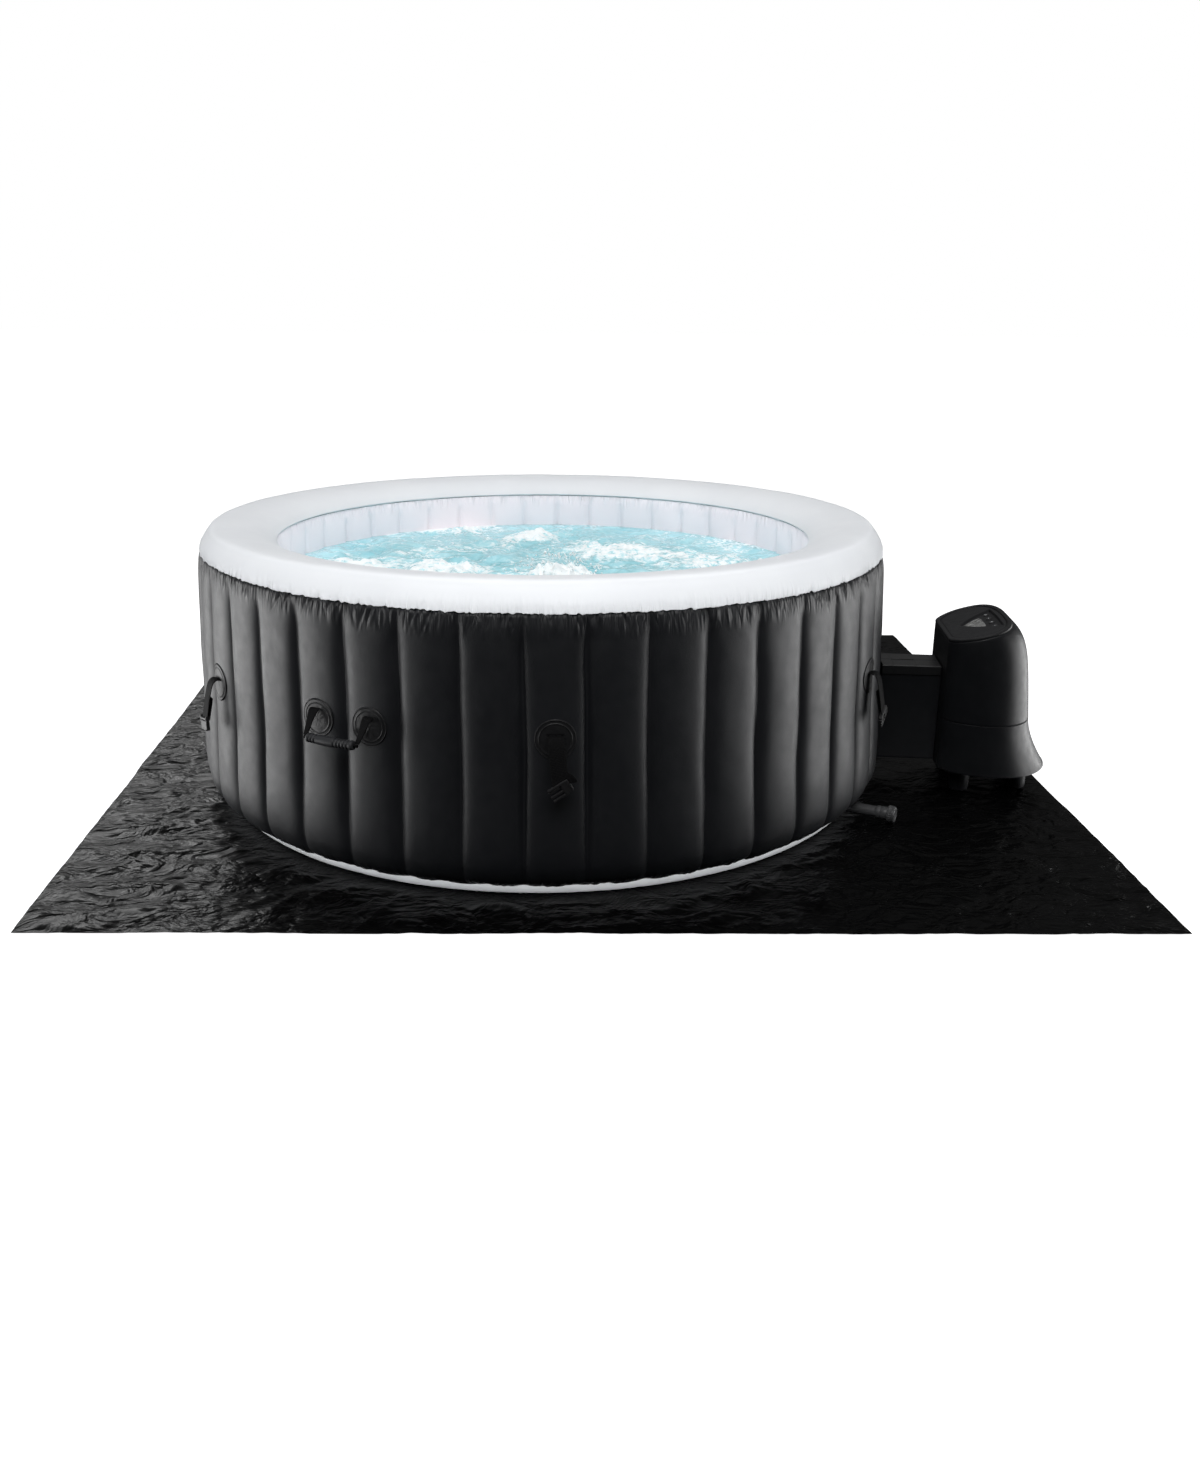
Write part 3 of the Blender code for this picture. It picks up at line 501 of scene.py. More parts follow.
def make_rim():
    phi = round_tub(36)
    line = curve_through([(878.5, 641.8), (880.5, 644), (879, 656), (872.5, 669), (860, 686),
                          (843, 700), (800, 699), (750, 690), (712, 673), (694.5, 659),
                          (692.5, 655), (695, 653)], 60)
    before = np.gradient(line, axis=0)
    normal = np.stack([before[:, 1], -before[:, 0]], -1) / np.linalg.norm(before, axis=1)[:, None]
    far = np.concatenate([[0], np.cumsum(np.linalg.norm(np.diff(line, axis=0), axis=1))])
    lift = pinches(phi, far, WALL_R, 41, FLUTES * 9, 0.044, 0.0034, 0.0040, 0.08)
    inner = pinches(phi, far[::-1], INNER_R, 42, FLUTES * 3, 0.020, 0.0010, 0.0040, 0.05)
    lift += inner[::-1] * 0.5
    lift += 0.0007 * ripple(phi[None, :], 2, far[:, None] / 0.05, 43)
    edge = np.clip(1 - far / 0.012, 0, 1)[:, None]
    lift += 0.0008 * edge * ripple(phi[None, :], 9, 0.0, 44)
    r = line[:, :1] + lift * normal[:, :1]
    z = line[:, 1:] + lift * normal[:, 1:]
    z = z - 0.0010 * edge * (1 + ripple(phi[None, :], 7, 5.0, 45))
    hang = np.clip((0.688 - line[:, 1:]) / 0.045, 0, 1) * (line[:, :1] > 0.8)
    z = z - hang ** 1.5 * seam_drop(phi)[None, :]
    size = (2 * math.pi * WALL_R, far)
    rim = grid("rim_skin", polar(phi[None, :], r, z), True, size=size, sharp=180)
    place(rim, RIM_SKIN, "root", ["top_rim"])


def inner_groove(phi, z):
    """How deep the inner wall's seams lie at a place, from 0 to 1."""
    share = flute_share(phi + 0.3, z + 3.0)
    return 0.3 * share ** 2 + 0.7 * share ** 9


def make_basin():
    phi = round_tub(26)
    line = curve_through([(20, 702), (50, 693.5), (90, 690.5), (300, 689.5), (540, 689.5),
                          (600, 690), (636, 692.5), (652, 695.5)], 120)
    depth = curve_through([(20, 1), (90, 13), (300, 14), (540, 13), (600, 9), (630, 2.5),
                           (652, 0)], 120)
    low, high = BASIN_Z
    heights = np.concatenate([np.linspace(low, 0.52, 14)[:-1], np.linspace(0.52, high, 30)])
    z = heights[:, None]
    r = np.interp(z, line[:, 0], line[:, 1])
    r = r + np.interp(z, depth[:, 0], depth[:, 1]) * inner_groove(phi[None, :], z)
    r = r - pinches(phi, high - heights, INNER_R, 51, FLUTES * 3, 0.030, 0.0012, 0.0045, 0.1)
    r = r + 0.0006 * ripple(phi[None, :], 3, z / 0.05, 52)
    size = (2 * math.pi * INNER_R, heights - low)
    skin = grid("basin_skin", polar(phi[None, ::-1], r[:, ::-1], z), True, size=size, sharp=180)
    place(skin, BASIN_SKIN, "root", ["inner_wall"])


def make_tray():
    phi = round_tub(12)
    line = curve_through([(830, 3.4), (842, 3.6), (853, 11), (861, 21), (865.5, 31),
                          (866, 37)], 14)
    uneven = 0.0007 * ripple(phi[None, :], 3, np.arange(14)[:, None] / 6, 61)
    points = polar(phi[None, :], line[:, :1] + uneven, line[:, 1:])
    tray = grid("tray_skin", points, True, sharp=180)
    place(tray, TRAY_SKIN, "root", ["base_tray"])


def make_floor():
    """The quilted pad on the basin's floor, and the air channel welded round its edge."""
    phi = round_tub(10)
    radii = np.append(np.linspace(0.004, INNER_R, 90), [0.700, 0.708, 0.713, 0.7155, 0.716])
    radii = radii[:, None]
    x, y = radii * np.sin(phi), radii * np.cos(phi)
    quilt = np.abs(np.sin(math.pi * x / 0.12) * np.sin(math.pi * y / 0.12)) ** 0.4
    edge = np.sqrt(np.clip((0.7165 - radii) / 0.012, 0, 1))
    z = 0.0088 + edge * (0.0062 + 0.0040 * quilt) + 0.0003 * noise(x / 0.02 + 50, y / 0.02, 62)
    points = polar(phi[None, :], radii, z)[:, ::-1]
    top = grid("floor_pad", points, True, size=(0.1, 0.7), sharp=180)
    place(top, FLOOR_SKIN, "root", ["basin_floor"])
    line = curve_through([(658, 19.6), (662, 26.5), (667, 29), (673, 29), (678, 26.5),
                          (682, 19.6)], 20)
    pucker = 0.0008 * ripple(phi[None, :], 5, np.arange(20)[:, None] / 5, 63)
    points = polar(phi[None, :], line[:, :1], line[:, 1:] + pucker)[:, ::-1]
    ring = grid("bubble_ring_skin", points, True, sharp=180)
    place(ring, FLOOR_SKIN, "root", ["bubble_ring"])


make_wall()
make_rim()
make_basin()
make_floor()
make_tray()


# ---- water
def disc_grid(count, radius):
    """Evenly spread points over a disc, as a square lattice bent onto it."""
    a = np.linspace(-1, 1, count)
    u, v = np.meshgrid(a, a)
    wide = np.abs(u) > np.abs(v)
    with np.errstate(divide="ignore", invalid="ignore"):
        turn = np.where(wide, math.pi / 4 * v / np.where(u == 0, 1, u),
                        math.pi / 2 - math.pi / 4 * u / np.where(v == 0, 1, v))
    r = np.where(wide, u, v) * radius
    return r * np.cos(turn), r * np.sin(turn)


def make_water():
    """The bubbling surface; its foam is an attribute that the material turns white."""
    count = 316
    x, y = disc_grid(count, 0.700)
    wx = x + 0.05 * noise(x / 0.16, y / 0.16, 71)
    wy = y + 0.05 * noise(x / 0.16, y / 0.16, 72)
    foam = noises(wx, wy, (0.55, 0.22, 0.15, 73), (0.30, 0.09, 0.06, 74), (0.20, 0.035, 0.028, 75),
                  (0.10, 0.016, 0.013, 76))
    foam += sum(strength * np.exp(-(((x - jx) / w) ** 2 + ((y - jy) / w) ** 2))
                for jx, jy, w, strength in ((*JET, 0.11, 1.3), (-0.30, 0.05, 0.20, 0.40),
                                            (0.22, 0.20, 0.16, 0.15), (-0.32, -0.25, 0.14, -0.25),
                                            (0.30, -0.10, 0.16, -0.15), (-0.45, 0.05, 0.12, 0.4)))
    edge = smooth((INNER_R - np.hypot(x, y)) / 0.05)
    height = noises(wx, wy, (0.010, 0.10, 0.08, 77), (0.006, 0.045, 0.035, 78),
                    (0.003, 0.02, 0.018, 79))
    mask = smooth((foam - 0.12) / 0.5)
    height += mask * (0.006 + 0.006 * noise(x / 0.014, y / 0.014, 80))
    splash = np.exp(-(((x - JET[0]) / 0.085) ** 2 + ((y - JET[1]) / 0.07) ** 2))
    height += splash * (0.024 + 0.034 * np.abs(noise(x / 0.022, y / 0.02, 81)))
    z = WATER_Z + height * edge
    water = grid("water", np.stack([x, y, z], -1), sharp=180)
    layer = water.data.attributes.new("foam", "FLOAT", "POINT")
    layer.data.foreach_set("value", foam.astype(np.float32).ravel())
    look = Look("water_surface", Roughness=0.08, Specular_IOR_Level=0.5)
    amount = look.add("Attribute", attribute_name="foam").outputs["Fac"]
    torn = look.noise(48.0, 6.0, 0.7, look.scaled((1.0, 1.5, 1.0)), 0.6)
    lace = look.math("ADD", amount, look.spread(torn, -0.65, 0.65))
    white = look.spread(lace, 0.0, 1.0, 0.02, 0.58)
    depth = look.noise(7.0, 4.0, 0.6)
    blue = look.mix(look.spread(depth), (0.24, 0.58, 0.66), (0.44, 0.74, 0.81))
    streak = look.noise(26.0, 5.0, 0.65, look.scaled((1.0, 1.8, 1.0)), 1.2)
    blue = look.mix(look.spread(streak, 0.0, 0.75, 0.45, 0.75), blue, (0.55, 0.83, 0.88))
    look.set(Base_Color=look.mix(white, blue, (0.93, 0.97, 0.98)))
    look.set(Roughness=look.spread(white, 0.06, 0.6, 0.0, 1.0))
    look.bump((look.noise(60.0, 5.0, 0.6), 0.35, 0.004), (torn, 0.5, 0.004))
    place(water, look.material, "root")


def make_spray():
    """Drops thrown up where the jets meet."""
    rng = np.random.default_rng(82)
    turn = turns(8)
    drops = []
    for _ in range(170):
        x, y = np.array(JET) + rng.normal(0, (0.060, 0.045))
        reach = math.exp(-((x - JET[0]) / 0.07) ** 2)
        z = WATER_Z + 0.030 + reach * rng.random() * 0.060
        size = 0.0010 + 0.0028 * rng.random() ** 2
        lean = rng.normal(0, 0.4, 2)
        rings = []
        for t in (0.05, 0.3, 0.6, 0.85, 0.98):
            r = size * math.sin(math.pi * t ** 0.8) * (0.8 + 0.4 * rng.random(len(turn)))
            up = size * 2.6 * (t - 0.5)
            rings.append(np.stack([x + lean[0] * up + r * np.cos(turn),
                                   y + lean[1] * up + r * np.sin(turn), z + up + 0 * turn], -1))
        drops.append(grid("drop", np.array(rings), True, True, (0.01, 0.01), 180))
    look = Look("spray_white", Roughness=0.25, Base_Color=(0.93, 0.97, 0.98))
    look.bump((look.noise(300.0, 3.0), 0.3, 0.0006))
    place(join("spray", drops), look.material, "root")


make_water()
make_spray()


# ---- ground cloth
def ridged(x, y, seed):
    """Noise folded into sharp ridges, from -1 to 1."""
    return 1 - np.abs(noise(x, y, seed)) * 2


def make_cloth():
    count = 316
    u, v = np.meshgrid(np.linspace(0, 1, count), np.linspace(0, 1, count))
    near_left, near_right, far_right, far_left = (np.array(c)[:, None, None]
                                                  for c in CLOTH_CORNERS)
    near, far = near_left * (1 - u) + near_right * u, far_left * (1 - u) + far_right * u
    x, y = near * (1 - v) + far * v
    wx = x + 0.03 * noise(x / 0.2, y / 0.2, 91)
    wy = y + 0.03 * noise(x / 0.2, y / 0.2, 92)
    height = 0.0040 * noise(wx / 0.16, wy / 0.10, 93) + 0.0036 * ridged(wx / 0.13, wy / 0.07, 94)
    height += 0.0024 * ridged((wx + wy) / 0.08, (wx - wy) / 0.05, 95)
    height += 0.0010 * ridged((wx - wy) / 0.035, (wx + wy) / 0.02, 96)
    loose = smooth((np.hypot(x, y) - 0.86) / 0.05)
    loose = loose * smooth((np.hypot(x - 1.19, y + 0.18) - 0.22) / 0.08)
    border = smooth(np.minimum(np.minimum(u, 1 - u), np.minimum(v, 1 - v)) * CLOTH_SIDE / 0.02)
    wave = 0.002 * noise(u * 9, v * 9, 97)
    z = 0.0015 + loose * (0.0015 + np.clip(height, -0.001, 1) * (0.35 + 0.65 * border))
    points = np.stack([x + wave, y + wave, np.maximum(z, 0.0008)], -1)
    cloth = grid("cloth_sheet", points, sharp=180)
    look = Look("cloth_black", Specular_IOR_Level=0.08)
    slow = look.noise(9.0, 4.0)
    look.set(Base_Color=look.mix(slow, (0.0012, 0.0012, 0.0014), (0.0032, 0.0032, 0.0035)))
    look.set(Roughness=look.spread(look.noise(30.0, 4.0), 0.28, 0.42))
    creases = look.ridges(9.0, 3.5, 0.55, look.scaled((1.0, 1.7, 1.0)), 0.5)
    fine = look.noise(60.0, 5.0, 0.65, look.scaled((1.0, 1.5, 1.0)), 0.8)
    weave = look.bands("DIAGONAL", 240.0, look.spot)
    look.bump((creases, 1.0, 0.030), (fine, 0.2, 0.002), (weave, 0.08, 0.0004))
    place(cloth, look.material, "root", ["ground_cloth"])


make_cloth()


# ---- building in a turned frame
def at(angle, p, q, z):
    """Points p outwards, q sideways and z up, seen from the tub's axis at an angle in degrees."""
    p, q, z = np.broadcast_arrays(np.asarray(p, float), q, z)
    turn = math.radians(angle)
    return (outward(turn) * p[..., None] + along(turn) * q[..., None]
            + UP * np.asarray(z, float)[..., None])


def box(name, centre, axes, halves, round_edge=0.0012):
    """A block with rounded edges; axes are its three unit directions."""
    centre = np.array(centre, float)
    signs = np.array([(i & 1, i >> 1 & 1, i >> 2 & 1) for i in range(8)]) * 2 - 1
    corners = centre + (signs * np.array(halves)) @ np.array(axes, float)
    faces = [[0, 2, 3, 1], [4, 5, 7, 6], [0, 1, 5, 4], [2, 6, 7, 3], [0, 4, 6, 2], [1, 3, 7, 5]]
    return bevelled(new_object(name, corners, faces), round_edge, "NONE")


def lathe(name, origin, axis, profile, columns=64, ribs=0, rib_depth=0.0, ribbed=(0, 0)):
    """A turned part: profile is (distance along the axis, radius) in millimetres, as are the ribs'
    depth and the two distances that they run between."""
    axis = np.array(axis, float)
    side = np.cross(axis, (0.0, 0.02, 1.0))
    side /= np.linalg.norm(side)
    other = np.cross(axis, side)
    turn = turns(columns)
    rings = []
    for distance, radius in profile:
        depth = rib_depth / 1000 if ribbed[0] <= distance <= ribbed[1] else 0
        r = radius / 1000 - depth * np.abs(np.sin(ribs * turn / 2))
        rings.append(np.array(origin) + axis * distance / 1000 + side * (r * np.cos(turn))[:, None]
                     + other * (r * np.sin(turn))[:, None])
    return grid(name, np.array(rings), True, True, (0.1, 0.1), 35)


# ---- round welded patches
def patch_on_wall(name, angle, height, radius, slot_z=None):
    """A round patch that follows the flute it is welded to, with two raised rings."""
    turn = turns(72)
    rho = radius * np.concatenate([np.linspace(1.0, 0.92, 8), np.linspace(0.91, 0.83, 4),
                                   np.linspace(0.82, 0.70, 10), np.linspace(0.65, 0.02, 12)])
    phi = math.radians(angle) + rho[:, None] * np.cos(turn) / WALL_R
    z = height + rho[:, None] * np.sin(turn)
    share = rho / radius
    rise = 0.0016 * smooth((1 - share) / 0.05)
    rise = rise + 0.0010 * np.exp(-((share - 0.955) / 0.022) ** 2)
    rise = rise + 0.0011 * np.exp(-((share - 0.775) / 0.025) ** 2)
    grain = noise(turn / (2 * math.pi) * 24, share[:, None] * 6, int(angle) % 97, 24)
    r = wall_radius(phi, z) + (rise[:, None] + 0.0004 * grain)
    if slot_z is not None:
        across = rho[:, None] * np.cos(turn)
        slot = np.exp(-((z - slot_z) / 0.0016) ** 2)
        r = r - 0.0035 * slot * smooth((0.0185 - np.abs(across)) / 0.003)
    return grid(name, polar(phi, r, z), True, True, (0.2, 0.2), 180)


def band(name, angle, points, count, width, thickness, across=None):
    """Webbing along points (outwards, sideways, up), in millimetres, seen from an angle."""
    line = at(angle, *curve_through(points, count).T)
    across = along(math.radians(angle)) if across is None else across
    return ribbon(name, line, across, width, thickness)


# ---- carry handles
def make_handle(name, angle):
    half_flute = 180 / FLUTES
    for side, offset in (("left", -half_flute), ("right", half_flute)):
        node = name + "_patch_" + side
        patch = patch_on_wall(node + "_skin", angle + offset, PATCH_Z + 0.004, 0.043)
        place(patch, BLACK_SKIN, "root", [node])

    grip_r, grip_z, half_grip = 0.9400, 0.3520, 0.0600
    width = np.interp(np.linspace(0, 1, 24), [0, 0.35, 0.8, 1], [0.025, 0.024, 0.013, 0.011])
    legs = [band("leg", angle, [(897.5, side * 70, 403), (903.5, side * 70, 401),
                                (907.5, side * 69.5, 397), (917, side * 69, 386),
                                (929, side * 68, 368), (938.5, side * 66.5, 356)], 24, width, 0.003)
            for side in (-1, 1)]
    q = np.linspace(-0.0690, 0.0690, 40)
    legs.append(tube("rod", at(angle, grip_r, q, grip_z), np.full(40, 0.0036), 16))
    place(join(name + "_straps", legs), WEBBING, name, [name + "_webbing"])

    q = np.linspace(-half_grip, half_grip, 180)
    bow = 0.0015 * (1 - (q / half_grip) ** 2)
    radius = 0.0108 + 0.0010 * np.exp(-((q + 0.008) / 0.020) ** 2)
    for groove in (-0.0515, -0.0440, -0.0360, 0.0140, 0.0225, 0.0310, 0.0395, 0.0480):
        radius = radius - 0.0030 * np.exp(-((q - groove) / 0.0017) ** 2)
    ends = np.clip((half_grip - np.abs(q)) / 0.004, 0, 1)
    radius = radius * (0.62 + 0.38 * np.sqrt(1 - (1 - ends) ** 2))
    flat = 1 - 0.06 * np.cos(2 * turns(40))
    grip = tube(name + "_grip_moulded", at(angle, grip_r, q, grip_z - bow),
                radius[:, None] * flat[None, :])
    place(grip, GRIP, name, [name + "_grip"])


# ---- cover straps
# Each block of half a buckle: (across, up, half width, half height, half depth), in millimetres.
BUCKLES = {
    "side": ((13.5, 0, 9.5, 12.5, 4.2), (21.5, 0, 3, 10.5, 5), (0, 12.5, 24, 2.8, 4.6),
             (-12, 7, 13.5, 2.4, 3.4), (-10, -3, 16, 2.6, 3.4), (-7, -12.5, 18.5, 2.6, 3.4)),
    "up": ((0, -3, 22, 10.5, 4.2), (0, 12, 24, 2.8, 4.6), (0, -13, 18, 3, 4.8),
           (-21.5, 11, 2.6, 8.5, 3.4), (21.5, 11, 2.6, 8.5, 3.4))}


def make_buckle(name, angle, tilt, prongs, drift):
    """Half a side-release buckle: a body with a crossbar, and prongs along one of its edges."""
    lean = math.radians(tilt)
    e, t = outward(math.radians(angle)), along(math.radians(angle))
    u = t * math.cos(lean) + UP * math.sin(lean)
    v = -t * math.sin(lean) + UP * math.cos(lean)
    centre = at(angle, 0.9395, drift, 0.2820)
    parts = []
    for block in BUCKLES[prongs]:
        across, up, half_u, half_v, depth = np.array(block) / 1000
        parts.append(box("part", centre + u * across + v * up, (e, u, v), (depth, half_u, half_v),
                         0.0015))
    place(join(name + "_half", parts), BUCKLE, name, [name + "_buckle"])


def make_strap(number, angle, tilt, prongs, drift):
    """A strap and its buckle; drift is how far it hangs sideways, in millimetres."""
    name = "strap_%d" % number
    patch = patch_on_wall(name + "_patch", angle, PATCH_Z, 0.0445, 0.3865)
    place(patch, BLACK_SKIN, "root")
    front = [(897.5, 0, 385.5), (901, 0, 385.7), (908.5, 0, 386.8), (916.5, 0.3, 381.5),
             (922.5, 1, 370), (929, 0.35 * drift, 345), (934.5, 0.65 * drift, 318),
             (938.5, drift, 296), (940.5, drift, 290)]
    back = [(933, drift, 292.5), (929, 0.8 * drift, 310), (924.5, 0.5 * drift, 330),
            (921.5, 0.3 * drift, 345)]
    pieces = [band("band", angle, front, 60, 0.0345, 0.0021),
              band("lining", angle, back, 24, 0.0335, 0.0018)]
    if number == 1:  # the one whose loose tip shows in the photo
        tip = [(939.5, 6 + drift, 312), (944, 20 + drift, 308), (946.5, 32 + drift, 304)]
        width = np.interp(np.linspace(0, 1, 16), [0, 0.5, 1], [0.028, 0.020, 0.005])
        pieces.append(band("tip", angle, tip, 16, width, 0.0018, UP))
    place(join(name + "_band", pieces), WEBBING, name, [name + "_webbing"])
    make_buckle(name, angle, tilt, prongs, drift / 1000)


make_handle("handle_front", -30)
make_handle("handle_rear", 150)
for strap in ((1, 0, 33, "side", 10), (2, 60, 30, "side", -4), (3, 120, 15, "up", 3),
              (4, 180, 25, "side", -5), (5, 240, 20, "side", 4), (6, 300, 8, "up", -2)):
    make_strap(*strap)


# ---- drain and air valve
def make_fittings():
    drain = ((0, 0, 0.029), outward(math.radians(60)))
    valve = ((0, 0, 0.300), outward(math.radians(13 * 360 / FLUTES)))
    pipe = [(722.5, 11.5), (722.5, 13.6), (724, 14), (938, 14), (942, 14.3), (944, 15.8),
            (946, 16.5), (952, 16.6), (953, 16), (955, 16), (956, 16.6), (969, 16.6), (971, 16),
            (971.4, 11.5)]
    drain_cap = [(971.8, 15), (971.8, 20.8), (972.6, 21.5), (974.5, 21.7), (975, 21.7),
                 (983.5, 21.5), (984.2, 21.3), (987.2, 20.5), (989.5, 18.8), (990.8, 16.5),
                 (991, 12), (990.4, 11), (990.4, 0.6)]
    body = [(870.3, 11), (870.3, 16), (900.3, 16), (900.3, 26.2), (901, 27), (902.8, 26.8),
            (903.6, 25), (904.2, 16.5), (905, 16), (910, 16), (910.3, 11)]
    valve_cap = [(910.6, 15), (910.6, 19.6), (911.2, 20), (911.6, 20), (916.5, 20), (917, 19.8),
                 (918.8, 19), (919.5, 17.2), (919.2, 12), (919, 0.6)]
    for node, spot, shape, look, slot in (
            ("drain_pipe", drain, (pipe, 48), DRAIN, "drain_plastic"),
            ("drain_cap", drain, (drain_cap, 144, 24, 1.2, (974.6, 984)), DRAIN, "drain_plastic"),
            ("air_valve", valve, (body, 64), CASE, "black_plastic"),
            ("air_valve_cap", valve, (valve_cap, 144, 24, 1, (911.4, 916.8)), CASE,
             "black_plastic")):
        cap = node.endswith("cap")
        turned = lathe(node + ("_ribbed" if cap else "_turned"), *spot, *shape)
        place(turned, look, node if cap else "root", [node])


make_fittings()


# ---- hose cover
def at_station(p, q, z):
    return at(math.degrees(STATION_ANGLE), p, q, z)


def extrude_profile(name, profile, p0, p1, round_edge):
    """A profile (sideways, up) run from p0 to p1 outwards; all but the edge in millimetres."""
    n = len(profile)
    q, z = np.array(profile, float).T / 1000
    ends = [at_station(np.full(n, p / 1000), q, z) for p in (p0, p1)]
    faces = [[i, (i + 1) % n, n + (i + 1) % n, n + i] for i in range(n)]
    faces += [list(range(n))[::-1], list(range(n, 2 * n))]
    return bevelled(new_object(name, np.vstack(ends), faces), round_edge, "ANGLE")


def make_hose_cover():
    start = 905
    trough = [(-57, 329.5), (-57, 84), (-59, 80), (-59, 74), (59, 74), (59, 80), (57, 84),
              (57, 329.5), (54, 329.5), (54, 77), (-54, 77), (-54, 329.5)]
    cover = extrude_profile("hose_cover_moulded", trough, start, 1059.3, 0.0008)
    place(cover, CASE, "root", ["hose_cover"])

    top, lip, under = 333, 308, 330
    slot_start, slot_end, half_slot = 934, 994, 4.2
    inner = 57.6
    right = [(58.2, top), (60.2, top - 2), (60.2, lip), (inner, lip), (inner, under)]
    left = [(-q, z) for q, z in right]
    parts = [extrude_profile("lid_end", right[2::-1] + left[:] + right[:2:-1], p0, p1, 0.0006)
             for p0, p1 in ((start, slot_start), (slot_end, 1057))]
    half = [(half_slot, under), (half_slot, top)] + right
    for profile in ([(-q, z) for q, z in half], half[::-1]):
        parts.append(extrude_profile("lid_side", profile, slot_start - 0.1, slot_end + 0.1, 0.0006))
    # the lid's material is the case's black painted a little lighter, as painted sheen
    place(join("hose_cover_lid_moulded", parts), LID_PAINTED_SHEEN, "hose_cover_lid",
          ["hose_cover_lid"])
    axes = (outward(STATION_ANGLE), along(STATION_ANGLE), UP)
    ridges = [box("ridge", at_station((p0 + p1) / 2, 0, 0.3331), axes,
                  ((p1 - p0) / 2, 0.0010, 0.0003), 0.0002)
              for p0, p1 in ((0.9065, 0.932), (0.996, 1.0555))]
    place(join("hose_cover_lid_seam", ridges), CASE, "hose_cover_lid")


make_hose_cover()


# ---- pump station
SPLIT_SHARE = 0.4               # the lower half's share of the case's height


def station_loop(share, inset=0.0, count=52):
    """The case's outline at a share of its height, as (outwards, sideways), anticlockwise."""
    flare = max(0.0, 1 - share / SPLIT_SHARE) ** 1.6
    rise = max(0.0, (share - SPLIT_SHARE) / (1 - SPLIT_SHARE))
    far = 1.300 + 0.058 * flare - 0.034 * rise - 0.040 * rise ** 6 - inset
    half = 0.168 + 0.010 * flare - 0.001 * rise - 0.004 * rise ** 8 - inset
    middle, flat, corner = 1.195 - 0.055 * share, FLAT_P + inset, 0.102 - inset
    turn = np.linspace(0, math.pi / 2, count // 2)
    near = np.stack([middle - (middle - flat) * np.cos(turn) ** (2 / 1.7),
                     corner + (half - corner) * np.sin(turn) ** (2 / 1.7)], -1)
    power = 2 / (2.1 + 0.8 * share)
    far_side = np.stack([middle + (far - middle) * np.sin(turn[1:]) ** power,
                         half * np.cos(turn[1:]) ** power], -1)
    flat_side = np.stack([np.full(9, flat), np.linspace(0, corner, 10)[:-1]], -1)
    side = np.vstack([flat_side[1:], near, far_side[:-1]])
    return np.vstack([[(far, 0.0)], side[::-1], [(flat, 0.0)], side * (1, -1)])


def station_top(p):
    return TOP_Z + TOP_SLOPE * (p - FLAT_P)


def in_station(loop, z):
    return at_station(loop[:, 0], loop[:, 1], z)


def make_case():
    """The case's two halves, which meet in a fine groove, and its four feet."""
    edge = ((0.0745, 0.030, 0.0030), (0.0682, 0, 0.0032), (0.0675, 0, 0.0020), (0.0682, 0, 0.0004),
            (0.0705, 0.004, 0.0))
    rings = [in_station(station_loop(share, inset), z) for z, share, inset in edge]
    for step in np.linspace(0.03, 0.985, 16):
        z = SKIRT_Z + step * (SPLIT_Z - SKIRT_Z)
        rings.append(in_station(station_loop(SPLIT_SHARE * step), z))
    rings += [in_station(station_loop(SPLIT_SHARE, inset), SPLIT_Z - gap)
              for inset, gap in ((0.0001, 0.0009), (0.0005, 0.0005), (0.0040, 0.0004))]
    base = grid("station_base_moulded", np.array(rings), True, True, (1, 1), 50)
    feet = [lathe("foot", at_station(p, q, 0), UP,
                  [(3.3, 20.5), (3.6, 23.5), (5.5, 25.5), (10, 26.2), (74.5, 27), (74.8, 20)], 48)
            for p, q in ((1.126, -0.086), (1.126, 0.086), (1.282, -0.052), (1.282, 0.052))]
    whole = join("station_base_moulded", [base] + feet)
    place(whole, CASE, "root", ["station_base"])

    rings = [in_station(station_loop(SPLIT_SHARE, inset), SPLIT_Z + gap)
             for inset, gap in ((0.0040, 0.0003), (0.0005, 0.0004), (0.0001, 0.0009))]
    for step in np.concatenate([np.linspace(0.02, 0.72, 16), np.linspace(0.76, 0.985, 12)]):
        loop = station_loop(SPLIT_SHARE + (1 - SPLIT_SHARE) * step)
        rings.append(in_station(loop, SPLIT_Z + step * (station_top(loop[:, 0]) - SPLIT_Z)))
    for inset, drop in ((0.0002, 0.0016), (0.0012, 0.0004), (0.0035, 0.0), (0.0125, 0.0)):
        loop = station_loop(1.0, inset)
        rings.append(in_station(loop, station_top(loop[:, 0]) - drop))
    shell = grid("station_shell_moulded", np.array(rings), True, False, (1, 1), 50)
    place(shell, CASE, "root", ["station_shell"])


def on_panel(x, y, z):
    """Points in the plane of the station's sloping top."""
    tilt = math.atan(TOP_SLOPE)
    p = FLAT_P + np.asarray(x) * math.cos(tilt) - np.asarray(z) * math.sin(tilt)
    up = TOP_Z + np.asarray(x) * math.sin(tilt) + np.asarray(z) * math.cos(tilt)
    return at_station(p, y, up)


def panel_loop(inset):
    loop = station_loop(1.0, inset)
    return np.stack([(loop[:, 0] - FLAT_P) * math.hypot(1.0, TOP_SLOPE), loop[:, 1]], -1)


def bowed_triangle(tip, base, half_width, bow, count=60):
    """A triangle with swollen sides, its tip towards the tub."""
    corners = np.array([(tip, 0.0), (base, -half_width), (base, half_width)])
    t = np.linspace(0, 1, count, endpoint=False)[:, None]
    sides = []
    for i, swell in enumerate((bow, 0.3 * bow, bow)):
        start, run = corners[i], corners[(i + 1) % 3] - corners[i]
        out = np.array([run[1], -run[0]]) / np.hypot(*run)
        sides.append(start + run * t + out * swell * np.sin(math.pi * t))
    return np.vstack(sides)


